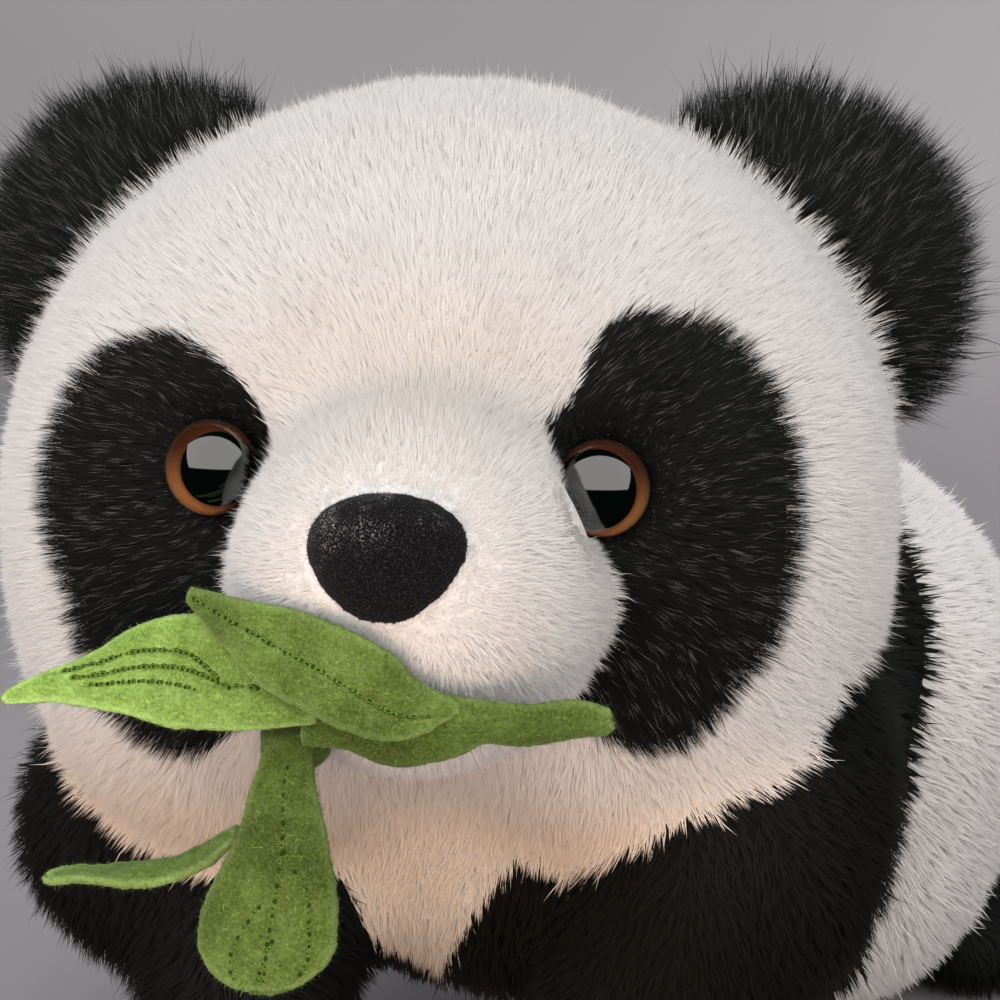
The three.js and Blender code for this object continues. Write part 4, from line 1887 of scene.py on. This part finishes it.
    def _fuzz(self, skin: SkinShape, place: HeadPlace) -> bpy.types.Mesh:
        """Loose wool fibres that lie on the felt and stand off a little."""
        rng = np.random.default_rng(200 + self.seed)
        points, normals = scattered(skin, self.fuzz_per_mm2, rng)
        laid = unit(flattened(rng.normal(size=points.shape), normals))
        rise = rng.uniform(0.0, 0.8, len(points)) ** 2
        length = rng.uniform(0.5, 1.6, len(points)) * MM
        tip = points + (laid + normals * column(rise)) * column(length)
        spine = np.stack([points - normals * 0.05 * MM, tip + normals * 0.06 * MM], 1)
        radius = np.full(len(points), self.fuzz_radius)
        # the loose fibres take the leaf's painted light and shade, with tone that differs at random
        tone = np.clip(self.tone(place.inward(points)) + rng.normal(0.05, 0.25, len(points)), 0.0, 1.0)
        pale = rng.uniform(0.0, 0.55, len(points))
        return Strands(spine, normals, radius, tone, pale).mesh(points.mean(0))

    def _sewn(self, place: HeadPlace, maker: Callable[..., None]) -> bpy.types.Mesh:
        """All rows of stitches as one mesh.

        Args:
            place: Where the head is.
            maker: What adds one stitch's thread or hole.

        Returns:
            The mesh.
        """
        shape = bmesh.new()
        for row in self.rows:
            count = max(2, round(self.length() * (row.end - row.start) / row.kind.pitch))
            share = (np.arange(count) + 0.5) / count
            t = row.start + (row.end - row.start) * share
            off = row.off_start + (row.off_end - row.off_start) * share
            slope = (row.off_end - row.off_start) / (row.end - row.start)
            points, face = self.surface(t, off)
            ahead, _ = self.surface(t + 0.004, off + 0.004 * slope)
            for spot, way, out in zip(points, unit(ahead - points), face):
                axes = Matrix([[*line] for line in np.array([way, np.cross(out, way), out]).T]).to_4x4()
                seat = Matrix.Translation(Vector(spot + out * (self.thickness / 2 + self.proud))) @ axes
                before = set(shape.verts)
                maker(shape, row.kind)
                new = [v for v in shape.verts if v not in before]
                bmesh.ops.transform(shape, matrix=seat, verts=new)
        shape.transform(place.matrix)
        mesh = from_bmesh(shape)
        mesh.shade_smooth()
        return mesh

    @staticmethod
    def _stitch(shape: bmesh.types.BMesh, kind: Stitch) -> None:
        """Adds one stitch's loop of thread, lying along X at the origin."""
        before = set(shape.verts)
        loop, thread = 0.5 * MM, 0.24 * MM
        made = bmesh.ops.create_circle(shape, segments=6, radius=thread)["verts"]
        stand = Matrix.Rotation(math.pi / 2, 4, "X")
        bmesh.ops.transform(shape, matrix=Matrix.Translation((loop, 0.0, 0.0)) @ stand, verts=made)
        edges = list({e for v in made for e in v.link_edges})
        spin_round(shape, made + edges, (0.0, 0.0, 1.0), 12)
        new = [v for v in shape.verts if v not in before]
        across = 2.0 * (loop + thread)
        bmesh.ops.scale(shape, vec=(kind.length / across, kind.breadth / across, 0.9), verts=new)

    @staticmethod
    def _hole(shape: bmesh.types.BMesh, kind: Stitch) -> None:
        """Adds the painted shadows of one stitch: dark pits beside its loop and where its thread goes in.
        """
        beside = (0.0, -0.24 * kind.breadth, 0.46 * kind.length, 0.44 * kind.breadth)
        joint = (-kind.pitch / 2, 0.0, 0.50 * MM, 0.46 * MM)
        for x, y, half_length, half_breadth in (beside, joint):
            made = bmesh.ops.create_icosphere(shape, subdivisions=1, radius=1.0)["verts"]
            bmesh.ops.scale(shape, vec=(half_length, half_breadth, 0.16 * MM), verts=made)
            bmesh.ops.translate(shape, vec=(x, y, 0.02 * MM), verts=made)


LEAVES = (
    FeltLeaf(
        "leaf_upper",
        (
            (-38.5, -100, -20.5), (-29, -105.5, -24.5), (-20, -109.5, -28), (-11, -112.5, -31),
            (-3, -113.5, -34.5), (4, -113, -37.5), (14, -111, -37.5),
        ),
        ((0, 0, 1), (0.16, 0.1, 1), (0.35, 0.07, 0.93), (0.4, 0.06, 0.91), (0.35, 0.07, 0.93), (0, 0, 1)),
        (1.3, 4.5, 7.3, 8, 8, 6, 1),
        rows=(Row(0.03, 0.93, 0.12, -0.2),),
        cup=0.10,
        tones=(0.24, 0.20),
        seed=1,
    ),
    FeltLeaf(
        "leaf_long",
        (
            (-12, -108, -40), (-27, -103.5, -37.5), (-38, -100, -35), (-47.5, -97.5, -35.5),
            (-57.5, -95.5, -38), (-67, -93.5, -40), (-77.5, -91.5, -43.5),
        ),
        (
            (0.2, 0.15, 0.95), (0, 0.2, 0.98), (0, 0.35, 0.94), (-0.1, 0.38, 0.92),
            (-0.2, 0.5, 0.86), (-0.3, 0.5, 0.8),
        ),
        (2.2, 7.6, 10.8, 9.4, 5.8, 3.4, 1.4),
        rows=(
            Row(0.24, 0.34, 0.05, 0.26),
            Row(0.34, 0.8, 0.28, 0.55),
            Row(0.02, 0.2, 0.5, 0.0),
            Row(0.2, 0.76, -0.03, 0.12),
            Row(0.3, 0.7, -0.28, -0.2, Stitch.PULLED),
        ),
        cup=0.08,
        facing=-1.0,
        tones=(0.36, 0.92),
        seed=2,
    ),
    FeltLeaf(
        "leaf_curled",
        (
            (-15.5, -106, -44), (-7, -107.5, -43.5), (1.5, -108.5, -45), (10, -109.5, -42),
            (17.5, -110.5, -40.5), (26, -109, -41), (34, -107, -40), (41, -104.5, -40.5),
        ),
        ((0, 0, 1), (0, 0, 1), (0, -0.13, 1), (0, -0.3, 0.95), (0, -0.45, 0.9), (0, -0.55, 0.83)),
        (2, 2.8, 4, 5.6, 4.1, 3.9, 3.9, 2.5),
        cup=0.35,
        tones=(0.10, 0.16),
        seed=3,
    ),
    FeltLeaf(
        "leaf_hanging",
        (
            (-18, -103.5, -47), (-18.5, -107, -55), (-18, -110.5, -63), (-18.5, -113.5, -72),
            (-19.5, -115.5, -80.5), (-19.5, -117.5, -89),
        ),
        ((1, 0, 0.05), (1, 0, 0.05), (1, 0, 0.06), (1, -0.05, 0.08)),
        (4.1, 6.2, 8.4, 11.5, 12.3, 8.8),
        rows=(
            Row(0.1, 0.97, 0.05, 0.05, Stitch.PULLED),
            Row(0.43, 0.56, 0.1, 0.5, Stitch.PULLED),
            Row(0.56, 0.96, 0.53, 0.72, Stitch.PULLED),
            Row(0.65, 0.97, -0.16, -0.68, Stitch.PULLED),
            Row(0.78, 0.97, 0.12, -0.1, Stitch.PULLED),
        ),
        cup=0.12,
        tones=(0.02, 0.20),
        rounded=7 * MM,
        seed=4,
    ),
    FeltLeaf(
        "leaf_side",
        (
            (-28, -102.5, -64.5), (-34.5, -101.5, -69), (-42, -101.5, -72), (-50, -100.5, -73.5),
            (-58, -99.5, -74.5), (-66, -98, -76),
        ),
        ((0, 0.9, 0.4), (-0.2, 0.97, 0.12), (-0.25, 0.97, 0.05), (-0.25, 0.97, 0.1)),
        (2.6, 4.0, 5.4, 5.0, 3.4, 1.6),
        cup=0.1,
        facing=-1.0,
        tones=(0.20, 0.42),
        seed=5,
    ),
)


@dataclass
class FeltSprig:
    """The sprig in the toy's mouth: five leaves sewn to a small knot of felt."""

    place: HeadPlace
    knot_voxel: float = 0.6 * MM
    knot_rounding: int = 6
    knot_lumps: Span = (0.35 * MM, 4 * MM)  # their height and length
    # painted shade: the knot's felt gets a low tone, as it lies in shade under the leaves
    knot_tone: float = 0.05
    knot_pale: float = 0.1

    def build(self) -> None:
        """Adds the knot and the leaves."""
        finish = FeltFinish().build()
        sewing = [ThreadFinish().build(), StitchShadowFinish().build()]
        self._knot(finish)
        for leaf in LEAVES:
            leaf.build(self.place, finish, sewing)

    def _knot(self, finish: bpy.types.Material) -> None:
        """The gathered felt that the leaves are sewn to."""
        mesh = remeshed(from_bmesh(merged_nodes(["sprig_knot"])), self.knot_voxel)
        skin = SkinShape.of(mesh)
        points = skin.relaxed(skin.points, self.knot_rounding)
        rise, length = self.knot_lumps
        points += skin.normals * column(rise * ripple(points, length, 77))
        move_to(mesh, points)
        mesh.shade_smooth()
        ones = np.ones(len(points))
        # the low tone paints the knot in shade
        paint(mesh, 0 * ones, self.knot_tone * ones, self.knot_pale * ones)
        knot = placed("knot", mesh, finish)
        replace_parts(knot, "sprig_knot")


# Studio ----------------------------------------------------------------------------------------------


@dataclass(frozen=True)
class Lamp:
    """A soft rectangular light: where it is, where it points, its size, power and colour, and whether
    it shows in shiny things."""

    name: str
    at: Spot
    toward: Spot
    size: tuple[float, float]
    power: float
    colour: Colour
    mirrored: bool = False

    def build(self) -> None:
        """Adds the lamp."""
        light = bpy.data.lights.new(self.name, "AREA")
        light.shape = "RECTANGLE"
        light.size, light.size_y = self.size
        light.energy, light.color = self.power, self.colour
        lamp = linked(self.name, light)
        lamp.location = self.at
        lamp.rotation_euler = (Vector(self.toward) - Vector(self.at)).to_track_quat("-Z", "Y").to_euler()
        lamp.visible_camera = False
        lamp.visible_glossy = self.mirrored


@dataclass
class Studio:
    """A pale seamless floor and backdrop, soft lamps, and the camera close to the toy's face."""

    place: HeadPlace
    azimuth: float = math.radians(26.0)
    elevation: float = math.radians(4.0)
    roll: float = math.radians(1.5)
    lens: float = 57.6
    distance: float = 0.320
    aim_right: float = 19.0 * MM
    aim_down: float = 4.2 * MM
    between_eyes: Spot = (-2.6 * MM, -72.0 * MM, 0.5 * MM)
    lamps: tuple[Lamp, ...] = (
        Lamp(
            "key_window",
            (0.42, -1.02, 0.765),
            (0.0, -0.12, 0.19),
            (4.2, 1.5),
            29.8,
            (1.0, 0.985, 0.965),
            mirrored=True,
        ),
        Lamp("side_fill", (-1.2, -0.5, 0.5), (0.0, -0.05, 0.15), (0.8, 0.8), 3.4, (0.93, 0.95, 1.0)),
        Lamp("warm_bounce", (0.12, -0.50, 0.03), (0.01, -0.12, 0.11), (0.3, 0.2), 1.1, (1.0, 0.73, 0.57)),
        Lamp("top_back", (0.2, 0.9, 1.4), (0.0, 0.0, 0.2), (1.2, 0.9), 7.0, WHITE),
        Lamp("left_wall_wash", (-2.1, 0.9, 2.0), (-3.5, 2.4, 0.9), (1.2, 1.0), 9.0, (1.0, 0.985, 0.98)),
        Lamp("right_wall_wash", (0.5, 0.7, 1.6), (0.7, 2.4, 0.2), (1.2, 1.0), 14.0, (1.0, 0.985, 0.98)),
    )
    world_colour: Colour = (0.80, 0.82, 0.86)
    world_strength: float = 0.37

    def camera(self) -> None:
        """Makes the camera at its viewing angle."""
        a, e, r = self.azimuth, self.elevation, self.roll
        forward = Vector((-math.sin(a) * math.cos(e), math.cos(a) * math.cos(e), -math.sin(e)))
        level = Vector((math.cos(a), math.sin(a), 0.0))
        upright = level.cross(forward)
        right = level * math.cos(r) + upright * math.sin(r)
        up = upright * math.cos(r) - level * math.sin(r)
        target = Vector(self.place.out(np.array(self.between_eyes)))
        data = bpy.data.cameras.new("camera")
        data.lens = self.lens
        data.clip_start = 0.02
        camera = linked("camera", data)
        camera.matrix_world = Matrix((right, up, -forward)).transposed().to_4x4()
        camera.location = target - forward * self.distance + right * self.aim_right - up * self.aim_down
        bpy.context.scene.camera = camera

    def build(self) -> None:
        """Adds the floor, the lamps and the light of the room."""
        self._floor()
        for lamp in self.lamps:
            lamp.build()
        world = bpy.data.worlds.new("room")
        world.use_nodes = True
        background = world.node_tree.nodes["Background"]
        background.inputs[0].default_value = (*self.world_colour, 1.0)
        background.inputs[1].default_value = self.world_strength
        bpy.context.scene.world = world
        world.cycles_visibility.glossy = False
        bpy.context.scene.view_settings.view_transform = "Standard"

    def _floor(self) -> None:
        """A floor that curves up into a backdrop, so that no corner shows."""
        shape = bmesh.new()
        near, far, radius, top, half = -4.0, 1.5, 0.9, 3.0, 4.0
        arc = [math.pi / 2 * k / 16 for k in range(17)]
        profile = [(near, 0.0)] + [(far + radius * math.sin(a), radius * (1 - math.cos(a))) for a in arc]
        profile.append((far + radius, top))
        line = [shape.verts.new((-half, y, z)) for y, z in profile]
        edges = [shape.edges.new(pair) for pair in zip(line, line[1:])]
        made = bmesh.ops.extrude_edge_only(shape, edges=edges)["geom"]
        moved = [v for v in made if isinstance(v, bmesh.types.BMVert)]
        bmesh.ops.translate(shape, vec=(2 * half, 0.0, 0.0), verts=moved)
        mesh = bpy.data.meshes.new("floor")
        bmesh.ops.recalc_face_normals(shape, faces=shape.faces)
        shape.to_mesh(mesh)
        shape.free()
        mesh.shade_smooth()
        mesh.materials.append(StudioFinish().build())
        floor = linked("floor", mesh)
        floor.visible_glossy = False


def main() -> None:
    """Builds the studio, the stuffed skin and its pile, the eyes, the nose and the felt sprig."""
    logging.basicConfig(level=logging.INFO, format="%(message)s")
    place = HeadPlace.from_frame()
    studio = Studio(place)
    studio.camera()
    studio.build()
    stuffed = StuffedSkin()
    skin = stuffed.build()
    markings = Markings(place)
    dark = ramp(-2 * MM, 2 * MM, markings.dark(skin.points, skin.shares))
    stuffed.dress(dark)
    PileCoat(place, skin, markings).grow()
    for eye in EYES:
        eye.build(place)
    FlockedNose().build()
    FeltSprig(place).build()


if __name__ == "__main__":
    main()
